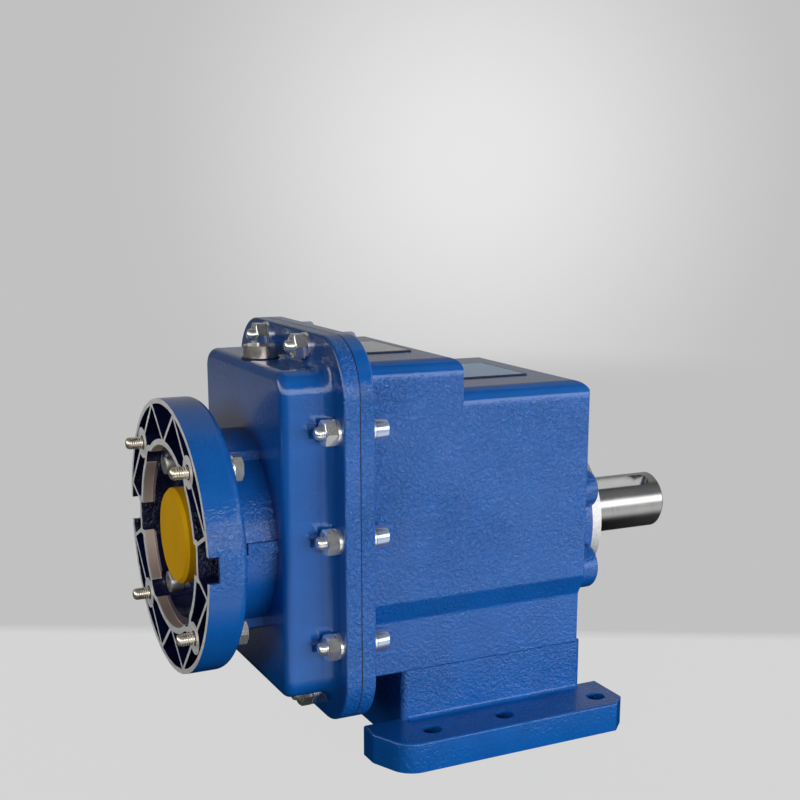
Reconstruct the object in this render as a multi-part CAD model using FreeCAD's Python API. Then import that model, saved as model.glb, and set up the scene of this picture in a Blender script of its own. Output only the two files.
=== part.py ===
import FreeCAD, Part
import math
import os

# Inline helical gearbox with two stages, in millimetres, +Z up.
# The origin is the centre of the foot's corner holes on the mounting plane.
# +X runs towards the output shaft's end.

# Output axis above the mounting plane
output_height = 91.0

# Gear train
normal_module = 1.5
pressure_angle = 20.0
first_helix = 12.84
second_helix = 11.60
profile_shift = 0.2
root_clearance = 0.25
backlash = 0.25
first_pinion_teeth = 15
first_gear_teeth = 37
second_pinion_teeth = 14
second_gear_teeth = 50
first_face_width = 17.0
second_face_width = 24.0
pinion_extra = 1.5
twist_share = 0.35
flank_points = 4

# Stations along X
seam_x = -79.0
gasket_thickness = 0.5
cover_flange_thickness = 7.0
housing_flange_thickness = 6.5
cover_depth = 21.5
neck_length = 18.0
flange_thickness = 17.0
body_length = 120.0
raised_length = 54.0
boss_length = 19.0
shoulder_reach = 3.3

# Joint between cover and housing
joint_rise = 5.0
head_gap = 0.5
joint_corner = 24.0
joint_edge_round = 1.2
side_bolt_edge = 7.5
end_bolt_edge = 6.0
side_bolt_pitch = 46.0
end_bolt_pitch = 48.0
spot_gap = 0.5

# Cover
cover_drop = 2.0
cover_corner = 9.0
cover_wall = 6.5
cover_front_wall = 7.0
cover_edge_radius = 4.0
cover_fillet = 5.0
cavity_radius = 5.0

# Housing
body_gap = 5.52
band_step = 6.0
raised_gap = 1.84
lower_top_cover = 8.0
band_drop = 19.0
band_height = 10.3
floor_gap = 4.22
top_radius = 7.0
inner_corner = 3.0
end_radius = 2.0
step_radius = 5.0
band_radius = 3.0
bottom_radius = 0.5
housing_wall = 6.0
floor_thickness = 10.0
end_wall = 7.0

# Output boss
boss_wall = 7.0
register_step = 3.0
register_length = 7.0
upper_lug_radius = 9.0
lower_lug_radius = 11.0
lug_round = 2.0
lug_offset = 2.0
lug_angle = 28.0
lug_length = 11.0
bearing_wall = 6.0
lay_hub_wall = 4.0

# Output shaft
shaft_radius = 14.0
shaft_front_reach = 1.5
shaft_length = 50.0
shaft_chamfer = 1.5
collar_height = 3.0
seat_chamfer = 1.0
keyway_width = 8.0
keyway_depth = 4.0
keyway_length = 40.0
keyway_from_end = 6.0
keyway_turn = 26.0

# Input flange
pilot_radius = 40.0
pilot_depth = 4.5
bolt_offset = 10.0
bolt_edge = 10.0
recess_step = 4.0
recess_depth = 12.0
pocket_depth = 12.0
rim_width = 2.2
rim_round = 4.2
pilot_ring_width = 2.5
rib_width = 1.6
pad_radius = 7.0
vee_spread = 17.0
side_vee_spread = 13.0
side_vee_foot = 8.0
slot_width = 11.0
slot_depth = 4.5
side_notch_width = 13.0
side_notch_depth = 2.5
adaptor_inset = 4.0
neck_edge = 5.5
lobe_rise = 3.5
lobe_width = 44.0
neck_pad_length = 13.0
neck_pad_width = 5.0
neck_pad_rise = 2.0
neck_pad_lift = 2.0
bolt_angle = 45.0
adaptor_screw_angle = 50.0
notch_gap = 1.2

# Input shaft
motor_bore_radius = 9.5
motor_key_width = 6.0
motor_key_depth = 2.8
input_front_setback = 4.5
motor_bore_length = 39.5
shank_radius = 7.0
input_collar_length = 4.0
input_tail_step = 2.0
input_tail_gap = 2.0

# Cap on the input shaft
cap_radius = 21.0
cap_setback = 2.4
cap_wall = 1.6
cap_skirt = 8.5
cap_round = 1.5
running_gap = 0.05

# Layshaft
lay_seat_radius = 10.0
lay_waist_radius = 8.0
lay_collar_length = 4.0
lay_key_width = 6.0
lay_key_height = 6.0
lay_key_depth = 3.5
gear_key_width = 8.0
gear_key_height = 7.0
gear_key_depth = 4.0
key_end_gap = 1.0
circlip_width = 1.5
circlip_height = 3.0
circlip_depth = 1.0
spacer_height = 3.0

# Running room inside
first_gear_gap = 5.0
stage_gap = 10.0
bearing_gap = 5.0
lay_end_gap = 2.5
lay_cap_wall = 8.0
seal_gap = 0.5
passage_gap = 3.0
hub_lip = 2.0
hub_end = 0.5
tip_gap = 0.5

# Foot bracket
foot_edge = 11.7
foot_thickness = 13.8
foot_front_margin = 25.7
foot_rear_margin = 11.4
foot_chamfer = 7.0
foot_bevel_x = 8.0
foot_bevel_y = 18.7
foot_corner_radius = 4.0
foot_nose_radius = 12.0
foot_edge_round = 1.0
foot_hole_radius = 4.5
foot_hole_y = 59.0
foot_corner_pitch = 87.0
foot_middle_x = -6.5
pedestal_front_setback = 17.7
pedestal_rear_setback = 11.2
pedestal_wall = 8.0
pedestal_edge = 3.0
pedestal_fillet = 2.0
foot_screw_inset = 20.0

# Fasteners, all M6 but the plug
screw_radius = 3.0
thread_radius = 2.675
clearance_radius = 3.3
socket_head_radius = 5.0
socket_head_height = 6.0
hex_width = 10.0
hex_bevel_share = 0.6
hex_rim_share = 1.02
nut_height = 5.2
bolt_head_height = 4.0
washer_radius = 5.6
washer_thickness = 1.4
head_washer_radius = 4.9
head_washer_thickness = 1.6
thread_reach = 3.2
flange_bolt_reach = 7.4
foot_screw_depth = 7.5
plug_radius = 7.5
plug_height = 5.2
plug_washer_thickness = 1.2
plug_washer_rim = 0.5
plug_spot_depth = 0.7
plug_overhang = 2.5
plug_shank_radius = 5.0
plug_depth = 9.0

# Bearings as bore, outside diameter, width
input_bearing = (30.0, 55.0, 13.0)
lay_front_bearing = (15.0, 35.0, 11.0)
lay_rear_bearing = (12.0, 32.0, 10.0)
output_bearing = (35.0, 62.0, 14.0)
ball_share = 0.3
ball_count = 7
ball_gap = 0.3
seal_width = 7.0
output_seal_section = 8.5
hub_wall = 5.5

# How far cutting tools run past what they cut, and how close edges are matched
overcut = 1.0
edge_tolerance = 0.1

# Axes and heights that follow from the sizes above
first_transverse = normal_module / math.cos(math.radians(first_helix))
second_transverse = normal_module / math.cos(math.radians(second_helix))
first_centres = first_transverse * (first_pinion_teeth + first_gear_teeth) / 2
second_centres = second_transverse * (second_pinion_teeth + second_gear_teeth) / 2
lay_z = output_height + second_centres
input_z = lay_z - first_centres
first_gear_tip = first_transverse * first_gear_teeth / 2 + normal_module * (1 - profile_shift)
second_gear_tip = second_transverse * second_gear_teeth / 2 + normal_module * (1 - profile_shift)
joint_centre_z = input_z + joint_rise
raised_top_z = lay_z + first_gear_tip + raised_gap + housing_wall
lower_top_z = lay_z + lay_rear_bearing[1] / 2 + lower_top_cover
band_top_z = output_height - band_drop
band_bottom_z = band_top_z - band_height
body_bottom_z = output_height - second_gear_tip - floor_gap - floor_thickness
body_width = 2 * (second_gear_tip + body_gap + housing_wall)
lower_width = body_width - 2 * band_step
cover_width = body_width
cover_height = 2 * (raised_top_z - joint_centre_z - cover_drop)
joint_width = body_width + 2 * (head_gap + socket_head_radius + side_bolt_edge)
joint_height = 2 * (raised_top_z - joint_centre_z + head_gap + socket_head_radius + end_bolt_edge)

# Radii that follow
journal_radius = output_bearing[0] / 2
output_seal_radius = journal_radius + output_seal_section
boss_radius = output_bearing[1] / 2 + boss_wall
register_radius = boss_radius - register_step
lug_circle = boss_radius + lug_offset
bolt_circle_radius = pilot_radius + bolt_offset
flange_radius = bolt_circle_radius + bolt_edge
recess_radius = pilot_radius - recess_step
adaptor_screw_radius = pilot_radius - adaptor_inset
neck_radius = adaptor_screw_radius + neck_edge
lobe_radius = neck_radius + lobe_rise
notch_radius = socket_head_radius + notch_gap
side_notch_radius = pilot_radius + side_notch_depth
side_ring_radius = side_notch_radius + pilot_ring_width
plug_washer_radius = plug_radius + plug_washer_rim
spot_radius = max(washer_radius, hex_width / math.sqrt(3)) + spot_gap
spot_depth = washer_thickness + nut_height + thread_reach + spot_gap

# Stations that follow
cover_back_x = seam_x - gasket_thickness
joint_front_x = cover_back_x - cover_flange_thickness
cover_front_x = joint_front_x - cover_depth
flange_back_x = cover_front_x - neck_length
face_x = flange_back_x - flange_thickness
housing_flange_back_x = seam_x + housing_flange_thickness
body_end_x = seam_x + body_length
raised_end_x = seam_x + raised_length
boss_end_x = body_end_x + boss_length
shoulder_x = boss_end_x + shoulder_reach
shaft_end_x = shoulder_x + shaft_length
foot_width = 2 * (foot_hole_y + foot_edge)
foot_start_x = -foot_corner_pitch / 2 - foot_front_margin
foot_end_x = foot_corner_pitch / 2 + foot_rear_margin
pedestal_start_x = foot_start_x + pedestal_front_setback
pedestal_end_x = foot_end_x - pedestal_rear_setback

# Inside stations along X
first_gear_x = seam_x + first_gear_gap
first_gear_end_x = first_gear_x + first_face_width
second_gear_x = first_gear_end_x + stage_gap
second_gear_end_x = second_gear_x + second_face_width
output_front_bearing_x = second_gear_end_x + bearing_gap
output_seal_x = boss_end_x - seal_gap - seal_width
output_rear_bearing_x = output_seal_x - seal_gap - output_bearing[2]
lay_front_bearing_x = cover_back_x - lay_end_gap - lay_front_bearing[2]
lay_rear_bearing_x = body_end_x - lay_cap_wall - lay_rear_bearing[2]
lay_front_end_x = lay_front_bearing_x + lay_front_bearing[2]
lay_rear_end_x = lay_rear_bearing_x + lay_rear_bearing[2]
output_front_end_x = output_front_bearing_x + output_bearing[2]
output_rear_end_x = output_rear_bearing_x + output_bearing[2]
circlip_x = second_gear_x - circlip_width
input_front_bearing_x = cover_front_x - input_bearing[2]
input_rear_bearing_x = cover_front_x
input_rear_end_x = input_rear_bearing_x + input_bearing[2]
input_front_x = face_x + input_front_setback
motor_bore_end_x = input_front_x + motor_bore_length
input_seal_x = input_front_bearing_x - seal_gap - seal_width
plug_x = cover_front_x + cover_edge_radius + plug_washer_radius - plug_overhang
plug_spot_z = joint_centre_z + cover_height / 2 - plug_spot_depth
plug_seat_z = plug_spot_z + plug_washer_thickness

axis_x = FreeCAD.Vector(1, 0, 0)
axis_z = FreeCAD.Vector(0, 0, 1)


def cylinder_x(x0, x1, y, z, radius):
    """Cylinder along X."""
    return Part.makeCylinder(radius, x1 - x0, FreeCAD.Vector(x0, y, z), axis_x)


def ring_x(x0, x1, z, outer, inner):
    """Plain ring along X on the middle plane."""
    return cylinder_x(x0, x1, 0, z, outer).cut(cylinder_x(x0 - overcut, x1 + overcut, 0, z, inner))


def box(x0, x1, y0, y1, z0, z1):
    """Box between two corners."""
    return Part.makeBox(x1 - x0, y1 - y0, z1 - z0, FreeCAD.Vector(x0, y0, z0))


def fuse_all(shapes):
    """One shape from several."""
    return shapes[0].multiFuse(shapes[1:]).removeSplitter()


def rounded_wire(corners, place):
    """Closed wire through corners (u, v, radius); place(u, v) gives the point in space."""
    count = len(corners)
    starts = []
    ends = []
    middles = []
    for index in range(count):
        u, v, radius = corners[index]
        here = FreeCAD.Vector(u, v, 0)
        before = FreeCAD.Vector(*corners[index - 1][:2], 0) - here
        after = FreeCAD.Vector(*corners[(index + 1) % count][:2], 0) - here
        before.normalize()
        after.normalize()
        half = before.getAngle(after) / 2
        reach = radius / math.tan(half)
        bisector = before + after
        bisector.normalize()
        centre_gap = radius / math.sin(half)
        starts.append(here + before * reach)
        ends.append(here + after * reach)
        middles.append(here + bisector * (centre_gap - radius))
    edges = []
    for index in range(count):
        start = place(starts[index].x, starts[index].y)
        end = place(ends[index].x, ends[index].y)
        following = (index + 1) % count
        leave = place(starts[following].x, starts[following].y)
        if corners[index][2] > 0:
            middle = place(middles[index].x, middles[index].y)
            edges.append(Part.Arc(start, middle, end).toShape())
        if end.distanceToPoint(leave) > 1e-6:
            edges.append(Part.makeLine(end, leave))
    return Part.Wire(edges)


def prism_x(corners, x0, x1):
    """Outline of (y, z, radius) corners, extruded along X."""
    wire = rounded_wire(corners, lambda u, v: FreeCAD.Vector(x0, u, v))
    return Part.Face(wire).extrude(axis_x * (x1 - x0))


def prism_y(corners, y0, y1):
    """Outline of (x, z, radius) corners, extruded along Y."""
    wire = rounded_wire(corners, lambda u, v: FreeCAD.Vector(u, y0, v))
    return Part.Face(wire).extrude(FreeCAD.Vector(0, y1 - y0, 0))


def prism_z(corners, z0, z1):
    """Outline of (x, y, radius) corners, extruded along Z."""
    wire = rounded_wire(corners, lambda u, v: FreeCAD.Vector(u, v, z0))
    return Part.Face(wire).extrude(axis_z * (z1 - z0))


def rectangle(u0, u1, v0, v1, radius):
    """Corners of a rounded rectangle."""
    return [(u0, v0, radius), (u1, v0, radius), (u1, v1, radius), (u0, v1, radius)]


def turned_x(points, z):
    """Solid of revolution about X at height z, from (x, radius) points."""
    outline = [FreeCAD.Vector(x, 0, z + r) for x, r in points]
    face = Part.Face(Part.makePolygon(outline + outline[:1]))
    return face.revolve(FreeCAD.Vector(0, 0, z), axis_x, 360)


def hexagon_x(x0, x1, y, z, width):
    """Hexagon bar along X with its corners bevelled at both ends."""
    corner = width / math.sqrt(3)
    points = []
    for index in range(6):
        angle = math.radians(60 * index)
        points.append(FreeCAD.Vector(x0, y + corner * math.sin(angle), z + corner * math.cos(angle)))
    bar = Part.Face(Part.makePolygon(points + points[:1])).extrude(axis_x * (x1 - x0))
    bevel = (corner - width / 2) * hex_bevel_share
    rim = width / 2 * hex_rim_share
    limit = turned_x([(x0, 0), (x0, rim), (x0 + bevel, corner), (x1 - bevel, corner), (x1, rim), (x1, 0)], 0)
    limit.translate(FreeCAD.Vector(0, y, z))
    return bar.common(limit)


def rounded_end(shape, x, radius):
    """Shape with the edges that lie in the plane at station x rounded."""
    edges = []
    for edge in shape.Edges:
        bounds = edge.BoundBox
        if abs(bounds.XMin - x) < edge_tolerance and abs(bounds.XMax - x) < edge_tolerance:
            edges.append(edge)
    return shape.makeFillet(radius, edges)


def joint_plate(x0, x1):
    """Plate with the outline that cover, gasket and housing share at the joint."""
    half_width = joint_width / 2
    half_height = joint_height / 2
    return prism_x(rectangle(-half_width, half_width, joint_centre_z - half_height,
                             joint_centre_z + half_height, joint_corner), x0, x1)


def joint_positions():
    """Centres (y, z) of the screws round the joint flange."""
    side_y = joint_width / 2 - side_bolt_edge
    end_z = joint_height / 2 - end_bolt_edge
    places = []
    for side in (-1, 1):
        for row in (-1, 0, 1):
            places.append((side * side_y, joint_centre_z + row * side_bolt_pitch))
        places.append((side * end_bolt_pitch / 2, joint_centre_z + end_z))
        places.append((side * end_bolt_pitch / 2, joint_centre_z - end_z))
    return places


def flange_bolt_positions():
    """Centres (y, z) of the four motor bolts."""
    y = bolt_circle_radius * math.cos(math.radians(bolt_angle))
    z = bolt_circle_radius * math.sin(math.radians(bolt_angle))
    return [(side * y, input_z + level * z) for side in (-1, 1) for level in (-1, 1)]


def adaptor_screw_positions():
    """Centres (y, z) of the four screws that hold the input flange."""
    y = adaptor_screw_radius * math.cos(math.radians(adaptor_screw_angle))
    z = adaptor_screw_radius * math.sin(math.radians(adaptor_screw_angle))
    return [(side * y, input_z + level * z) for side in (-1, 1) for level in (-1, 1)]


def foot_screw_positions():
    """Centres (x, y) of the four screws between foot bracket and housing."""
    x_middle = (pedestal_start_x + pedestal_end_x) / 2
    x_reach = (pedestal_end_x - pedestal_start_x) / 2 - foot_screw_inset
    y_reach = lower_width / 2 - foot_screw_inset
    return [(x_middle + a * x_reach, b * y_reach) for a in (-1, 1) for b in (-1, 1)]


def foot_hole_positions():
    """Centres (x, y) of the six holes in the feet."""
    columns = (-foot_corner_pitch / 2, foot_middle_x, foot_corner_pitch / 2)
    return [(x, side * foot_hole_y) for side in (-1, 1) for x in columns]


def involute(angle):
    """Involute function."""
    return math.tan(angle) - angle


def gear_profile(teeth, transverse, shift, phase, x, z):
    """Transverse outline of a gear at station x; a tooth points at the phase angle."""
    pressure = math.atan(math.tan(math.radians(pressure_angle)) * transverse / normal_module)
    pitch = transverse * teeth / 2
    base = pitch * math.cos(pressure)
    tip = pitch + normal_module * (1 + shift)
    root = pitch - normal_module * (1 + root_clearance - shift)
    thickness = transverse * math.pi / 2 + 2 * shift * normal_module * math.tan(pressure) - backlash / 2
    first = max(base, root)

    def half_angle(radius):
        return thickness / 2 / pitch + involute(pressure) - involute(math.acos(base / radius))

    def point(radius, angle):
        return FreeCAD.Vector(x, radius * math.cos(angle), z + radius * math.sin(angle))

    flank = [(root, half_angle(first))]
    if root == first:
        flank = []
    for step in range(flank_points):
        radius = first + (tip - first) * step / (flank_points - 1)
        flank.append((radius, half_angle(radius)))
    root_half = flank[0][1]
    tip_half = flank[-1][1]
    pitch_angle = 2 * math.pi / teeth
    edges = []
    for index in range(teeth):
        middle = phase + pitch_angle * index
        gap = middle + pitch_angle / 2
        rise = Part.BSplineCurve()
        rise.interpolate([point(radius, middle - half) for radius, half in flank])
        fall = Part.BSplineCurve()
        fall.interpolate([point(radius, middle + half) for radius, half in reversed(flank)])
        top = Part.Arc(point(tip, middle - tip_half), point(tip, middle), point(tip, middle + tip_half))
        floor = Part.Arc(point(root, middle + root_half), point(root, gap),
                         point(root, middle + pitch_angle - root_half))
        edges += [rise.toShape(), top.toShape(), fall.toShape(), floor.toShape()]
    return Part.Wire(edges)


def helical_gear(teeth, transverse, shift, phase, hand, span, z):
    """Helical gear over the span of stations (x0, x1), in phase at its middle.

    Each stretch between sections twists by less than half a tooth.
    """
    x0, x1 = span
    lead = math.sqrt((transverse / normal_module) ** 2 - 1) / (transverse * teeth / 2)
    spans = math.ceil((x1 - x0) * lead / (twist_share * 2 * math.pi / teeth))
    sections = []
    for index in range(spans + 1):
        x = x0 + (x1 - x0) * index / spans
        turn = hand * (x - (x0 + x1) / 2) * lead
        sections.append(gear_profile(teeth, transverse, shift, phase + turn, x, z))
    return Part.makeLoft(sections, True, True)


def bearing(size, x, z):
    """Outer ring, inner ring and balls of a deep groove bearing from station x on."""
    bore, outside, width = size
    section = (outside - bore) / 2
    pitch = (outside + bore) / 4
    ball = ball_share * section
    middle = FreeCAD.Vector(x + width / 2, 0, z)
    groove = Part.makeTorus(pitch, ball + ball_gap, middle, axis_x)
    outer = ring_x(x, x + width, z, outside / 2, outside / 2 - ball).cut(groove)
    inner = ring_x(x, x + width, z, bore / 2 + ball, bore / 2).cut(groove)
    balls = []
    for index in range(ball_count):
        angle = 2 * math.pi * index / ball_count
        offset = FreeCAD.Vector(0, pitch * math.cos(angle), pitch * math.sin(angle))
        balls.append(Part.makeSphere(ball, middle + offset))
    return outer, inner, Part.makeCompound(balls)


def body_outline(width, low_width, bottom, top, rise, radius):
    """Cross-section of the housing: upright walls above a band that steps in to the lower body."""
    wide = width / 2
    low = low_width / 2
    return [(-low, bottom, bottom_radius), (low, bottom, bottom_radius),
            (low, band_bottom_z + rise, band_radius), (wide, band_top_z + rise, band_radius),
            (wide, top, radius), (-wide, top, radius),
            (-wide, band_top_z + rise, band_radius), (-low, band_bottom_z + rise, band_radius)]


def make_housing():
    """Main housing with its joint flange, cavity, bearing seats and output boss."""
    lower = prism_x(body_outline(body_width, lower_width, body_bottom_z, lower_top_z, 0, top_radius),
                    seam_x, body_end_x)
    side = [(seam_x - overcut, body_bottom_z - overcut, 0), (body_end_x, body_bottom_z - overcut, 0),
            (body_end_x, lower_top_z, top_radius), (seam_x - overcut, lower_top_z, 0)]
    plan = [(seam_x - overcut, -body_width / 2, 0), (body_end_x, -body_width / 2, end_radius),
            (body_end_x, body_width / 2, end_radius), (seam_x - overcut, body_width / 2, 0)]
    lower = lower.common(prism_y(side, -body_width, body_width)).common(prism_z(plan, 0, raised_top_z))
    raised = prism_x(body_outline(body_width, lower_width, body_bottom_z, raised_top_z, 0, top_radius),
                     seam_x, raised_end_x)
    step = [(seam_x - overcut, band_top_z, 0), (raised_end_x, band_top_z, 0),
            (raised_end_x, raised_top_z, step_radius), (seam_x - overcut, raised_top_z, 0)]
    raised = raised.common(prism_y(step, -body_width, body_width))
    flange = rounded_end(joint_plate(seam_x, housing_flange_back_x), housing_flange_back_x, joint_edge_round)
    boss = cylinder_x(body_end_x - overcut, boss_end_x - register_length, 0, output_height, boss_radius)
    register = cylinder_x(body_end_x - overcut, boss_end_x, 0, output_height, register_radius)
    lugs = []
    lug_end_x = body_end_x + lug_length
    for level, radius in ((1, upper_lug_radius), (-1, lower_lug_radius)):
        for side in (-1, 1):
            y = side * lug_circle * math.cos(math.radians(lug_angle))
            z = output_height + level * lug_circle * math.sin(math.radians(lug_angle))
            lug = cylinder_x(body_end_x - overcut, lug_end_x, y, z, radius)
            lugs.append(rounded_end(lug, lug_end_x, lug_round))
    shell = fuse_all([lower, raised, flange, boss, register] + lugs)

    inner_width = body_width - 2 * housing_wall
    inner_low = lower_width - 2 * housing_wall
    inner_floor = body_bottom_z + floor_thickness
    cavity = prism_x(body_outline(inner_width, inner_low, inner_floor, lower_top_z - housing_wall,
                                  housing_wall / 2, inner_corner), seam_x - overcut, body_end_x - end_wall)
    raised_cavity = prism_x(rectangle(-inner_width / 2, inner_width / 2, input_z,
                                      raised_top_z - housing_wall, inner_corner),
                            seam_x - overcut, raised_end_x - housing_wall)
    tube = cylinder_x(output_front_bearing_x - hub_end, body_end_x, 0, output_height,
                      output_bearing[1] / 2 + bearing_wall)
    lay_hub = cylinder_x(lay_rear_bearing_x - hub_lip, body_end_x - overcut, 0, lay_z,
                         lay_rear_bearing[1] / 2 + lay_hub_wall)
    shell = fuse_all([shell.cut(cavity).cut(raised_cavity), tube, lay_hub])

    cuts = [cylinder_x(output_front_bearing_x - hub_lip, output_rear_end_x, 0, output_height,
                       output_bearing[1] / 2),
            cylinder_x(output_rear_end_x - overcut, boss_end_x + overcut, 0, output_height,
                       output_seal_radius),
            cylinder_x(lay_rear_bearing_x - hub_lip - overcut, lay_rear_end_x, 0, lay_z,
                       lay_rear_bearing[1] / 2)]
    for y, z in joint_positions():
        cuts.append(cylinder_x(seam_x - overcut, housing_flange_back_x + overcut, y, z, clearance_radius))
    for x, y in foot_screw_positions():
        cuts.append(Part.makeCylinder(screw_radius, overcut + foot_screw_depth + tip_gap,
                                      FreeCAD.Vector(x, y, body_bottom_z - overcut)))
    return shell.cut(Part.makeCompound(cuts))


def make_cover():
    """Input cover with its joint flange, cavity, bearing hubs and spot faces for the nuts."""
    half_width = cover_width / 2
    half_height = cover_height / 2
    low = joint_centre_z - half_height
    high = joint_centre_z + half_height
    block = prism_x(rectangle(-half_width, half_width, low, high, cover_corner), cover_front_x, cover_back_x)
    block = rounded_end(block, cover_front_x, cover_edge_radius)
    back_x = cover_back_x + overcut
    flange = rounded_end(joint_plate(joint_front_x, cover_back_x), joint_front_x, joint_edge_round)
    shell = fuse_all([block, flange])
    corner_edges = []
    for edge in shell.Edges:
        bounds = edge.BoundBox
        on_face = bounds.XLength < edge_tolerance and abs(bounds.XMin - joint_front_x) < edge_tolerance
        in_width = bounds.YMax < half_width + edge_tolerance and bounds.YMin > -half_width - edge_tolerance
        in_height = bounds.ZMax < high + edge_tolerance and bounds.ZMin > low - edge_tolerance
        if on_face and in_width and in_height:
            corner_edges.append(edge)
    shell = shell.makeFillet(cover_fillet, corner_edges)

    cavity = prism_x(rectangle(-half_width + cover_wall, half_width - cover_wall, low + cover_wall,
                               high - cover_wall, cavity_radius), cover_front_x + cover_front_wall, back_x)
    input_hub = cylinder_x(cover_front_x + overcut, input_rear_end_x + hub_lip, 0, input_z,
                           input_bearing[1] / 2 + hub_wall)
    lay_hub = cylinder_x(cover_front_x + overcut, lay_front_end_x + hub_end, 0, lay_z,
                         lay_front_bearing[1] / 2 + hub_wall)
    shell = fuse_all([shell.cut(cavity), input_hub, lay_hub])

    passage = input_bearing[0] / 2 + collar_height + passage_gap
    front_x = cover_front_x - overcut
    cuts = [cylinder_x(front_x, input_rear_end_x, 0, input_z, input_bearing[1] / 2),
            cylinder_x(front_x, cover_back_x, 0, input_z, passage),
            cylinder_x(lay_front_bearing_x, cover_back_x, 0, lay_z, lay_front_bearing[1] / 2),
            Part.makeCylinder(plug_shank_radius, plug_depth + overcut,
                              FreeCAD.Vector(plug_x, 0, plug_seat_z - plug_depth - overcut)),
            Part.makeCylinder(plug_washer_radius + spot_gap, plug_washer_thickness + plug_height,
                              FreeCAD.Vector(plug_x, 0, plug_spot_z))]
    for y, z in joint_positions():
        cuts.append(cylinder_x(joint_front_x - overcut, back_x, y, z, clearance_radius))
        cuts.append(cylinder_x(joint_front_x - spot_depth, joint_front_x, y, z, spot_radius))
    for y, z in adaptor_screw_positions():
        cuts.append(cylinder_x(front_x, cover_front_x + cover_front_wall + overcut, y, z, screw_radius))
    for tool in cuts:
        shell = shell.cut(tool)
    return shell.removeSplitter()


def make_gasket():
    """Flat gasket between cover and housing."""
    sheet = joint_plate(cover_back_x, seam_x)
    opening = prism_x(rectangle(-cover_width / 2 + cover_wall, cover_width / 2 - cover_wall,
                                joint_centre_z - cover_height / 2 + cover_wall,
                                joint_centre_z + cover_height / 2 - cover_wall, cavity_radius),
                      cover_back_x - overcut, seam_x + overcut)
    cuts = [opening]
    for y, z in joint_positions():
        cuts.append(cylinder_x(cover_back_x - overcut, seam_x + overcut, y, z, clearance_radius))
    return sheet.cut(Part.makeCompound(cuts))


def face_rib(angle_a, radius_a, angle_b, radius_b):
    """Rib of the flange face between two polar points, as deep as the pockets."""
    a = FreeCAD.Vector(0, radius_a * math.cos(angle_a), radius_a * math.sin(angle_a))
    b = FreeCAD.Vector(0, radius_b * math.cos(angle_b), radius_b * math.sin(angle_b))
    along = b - a
    along.normalize()
    across = axis_x.cross(along) * (rib_width / 2)
    start = FreeCAD.Vector(face_x - overcut, 0, input_z)
    points = [start + a + across, start + b + across, start + b - across, start + a - across]
    face = Part.Face(Part.makePolygon(points + points[:1]))
    return face.extrude(axis_x * (pocket_depth + 2 * overcut))


def make_input_flange():
    """Motor adaptor: webbed face, pilot recess, rim slots, neck and bearing bore."""
    disc = cylinder_x(face_x, flange_back_x, 0, input_z, flange_radius)
    disc = rounded_end(disc, flange_back_x, rim_round)
    neck = cylinder_x(flange_back_x - overcut, cover_front_x, 0, input_z, neck_radius)
    lobes = cylinder_x(flange_back_x - overcut, cover_front_x, 0, input_z, lobe_radius)
    lobes = lobes.common(box(flange_back_x - overcut, cover_front_x, -lobe_width / 2, lobe_width / 2,
                             input_z - flange_radius, input_z + flange_radius))
    pad_reach = neck_radius + neck_pad_rise
    pad_z = input_z + neck_pad_lift
    pads = box(cover_front_x - neck_pad_length, cover_front_x, -pad_reach, pad_reach,
               pad_z - neck_pad_width / 2, pad_z + neck_pad_width / 2)
    blank = fuse_all([disc, neck, lobes, pads])

    rim_inner = flange_radius - rim_width
    ring_outer = pilot_radius + pilot_ring_width
    keep = []
    pocket_end_x = face_x + pocket_depth + overcut
    for quarter in range(4):
        centre = math.radians(90 * quarter)
        at_slot = quarter in (0, 2)
        foot_spread = math.radians(side_vee_foot if at_slot else 0)
        rim_spread = math.radians(side_vee_spread if at_slot else vee_spread)
        for side in (-1, 1):
            rim_angle = centre + side * rim_spread
            pad_angle = centre + side * math.radians(bolt_angle)
            keep.append(face_rib(centre + side * foot_spread, ring_outer - overcut, rim_angle,
                                 rim_inner + overcut))
            keep.append(face_rib(rim_angle, rim_inner, pad_angle, bolt_circle_radius))
    for y, z in flange_bolt_positions():
        keep.append(cylinder_x(face_x - overcut, pocket_end_x, y, z, pad_radius))
    for y, z in adaptor_screw_positions():
        keep.append(cylinder_x(face_x - overcut, pocket_end_x, y, z, notch_radius + pilot_ring_width))
    notch_half = side_notch_width / 2
    wall_half = notch_half + pilot_ring_width
    keep.append(box(face_x - overcut, pocket_end_x, -side_ring_radius, side_ring_radius,
                    input_z - wall_half, input_z + wall_half))
    pockets = ring_x(face_x - overcut, face_x + pocket_depth, input_z, rim_inner, ring_outer)
    pockets = pockets.cut(fuse_all(keep))

    cuts = [pockets,
            cylinder_x(face_x - overcut, face_x + pilot_depth, 0, input_z, pilot_radius),
            cylinder_x(face_x - overcut, face_x + recess_depth, 0, input_z, recess_radius),
            cylinder_x(face_x, cover_front_x + overcut, 0, input_z, input_bearing[1] / 2),
            box(face_x - overcut, face_x + recess_depth, -side_notch_radius, side_notch_radius,
                input_z - notch_half, input_z + notch_half)]
    for side in (-1, 1):
        inner_y, outer_y = sorted((side * side_ring_radius, side * (flange_radius + overcut)))
        cuts.append(box(face_x - overcut, face_x + slot_depth, inner_y, outer_y,
                        input_z - slot_width / 2, input_z + slot_width / 2))
    for y, z in flange_bolt_positions():
        cuts.append(cylinder_x(face_x - overcut, flange_back_x + overcut, y, z, clearance_radius))
    for y, z in adaptor_screw_positions():
        cuts.append(cylinder_x(face_x - overcut, face_x + recess_depth, y, z, notch_radius))
        cuts.append(cylinder_x(face_x, cover_front_x + overcut, y, z, clearance_radius))
    shape = blank
    for tool in cuts:
        shape = shape.cut(tool)
    return shape.removeSplitter()


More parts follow.
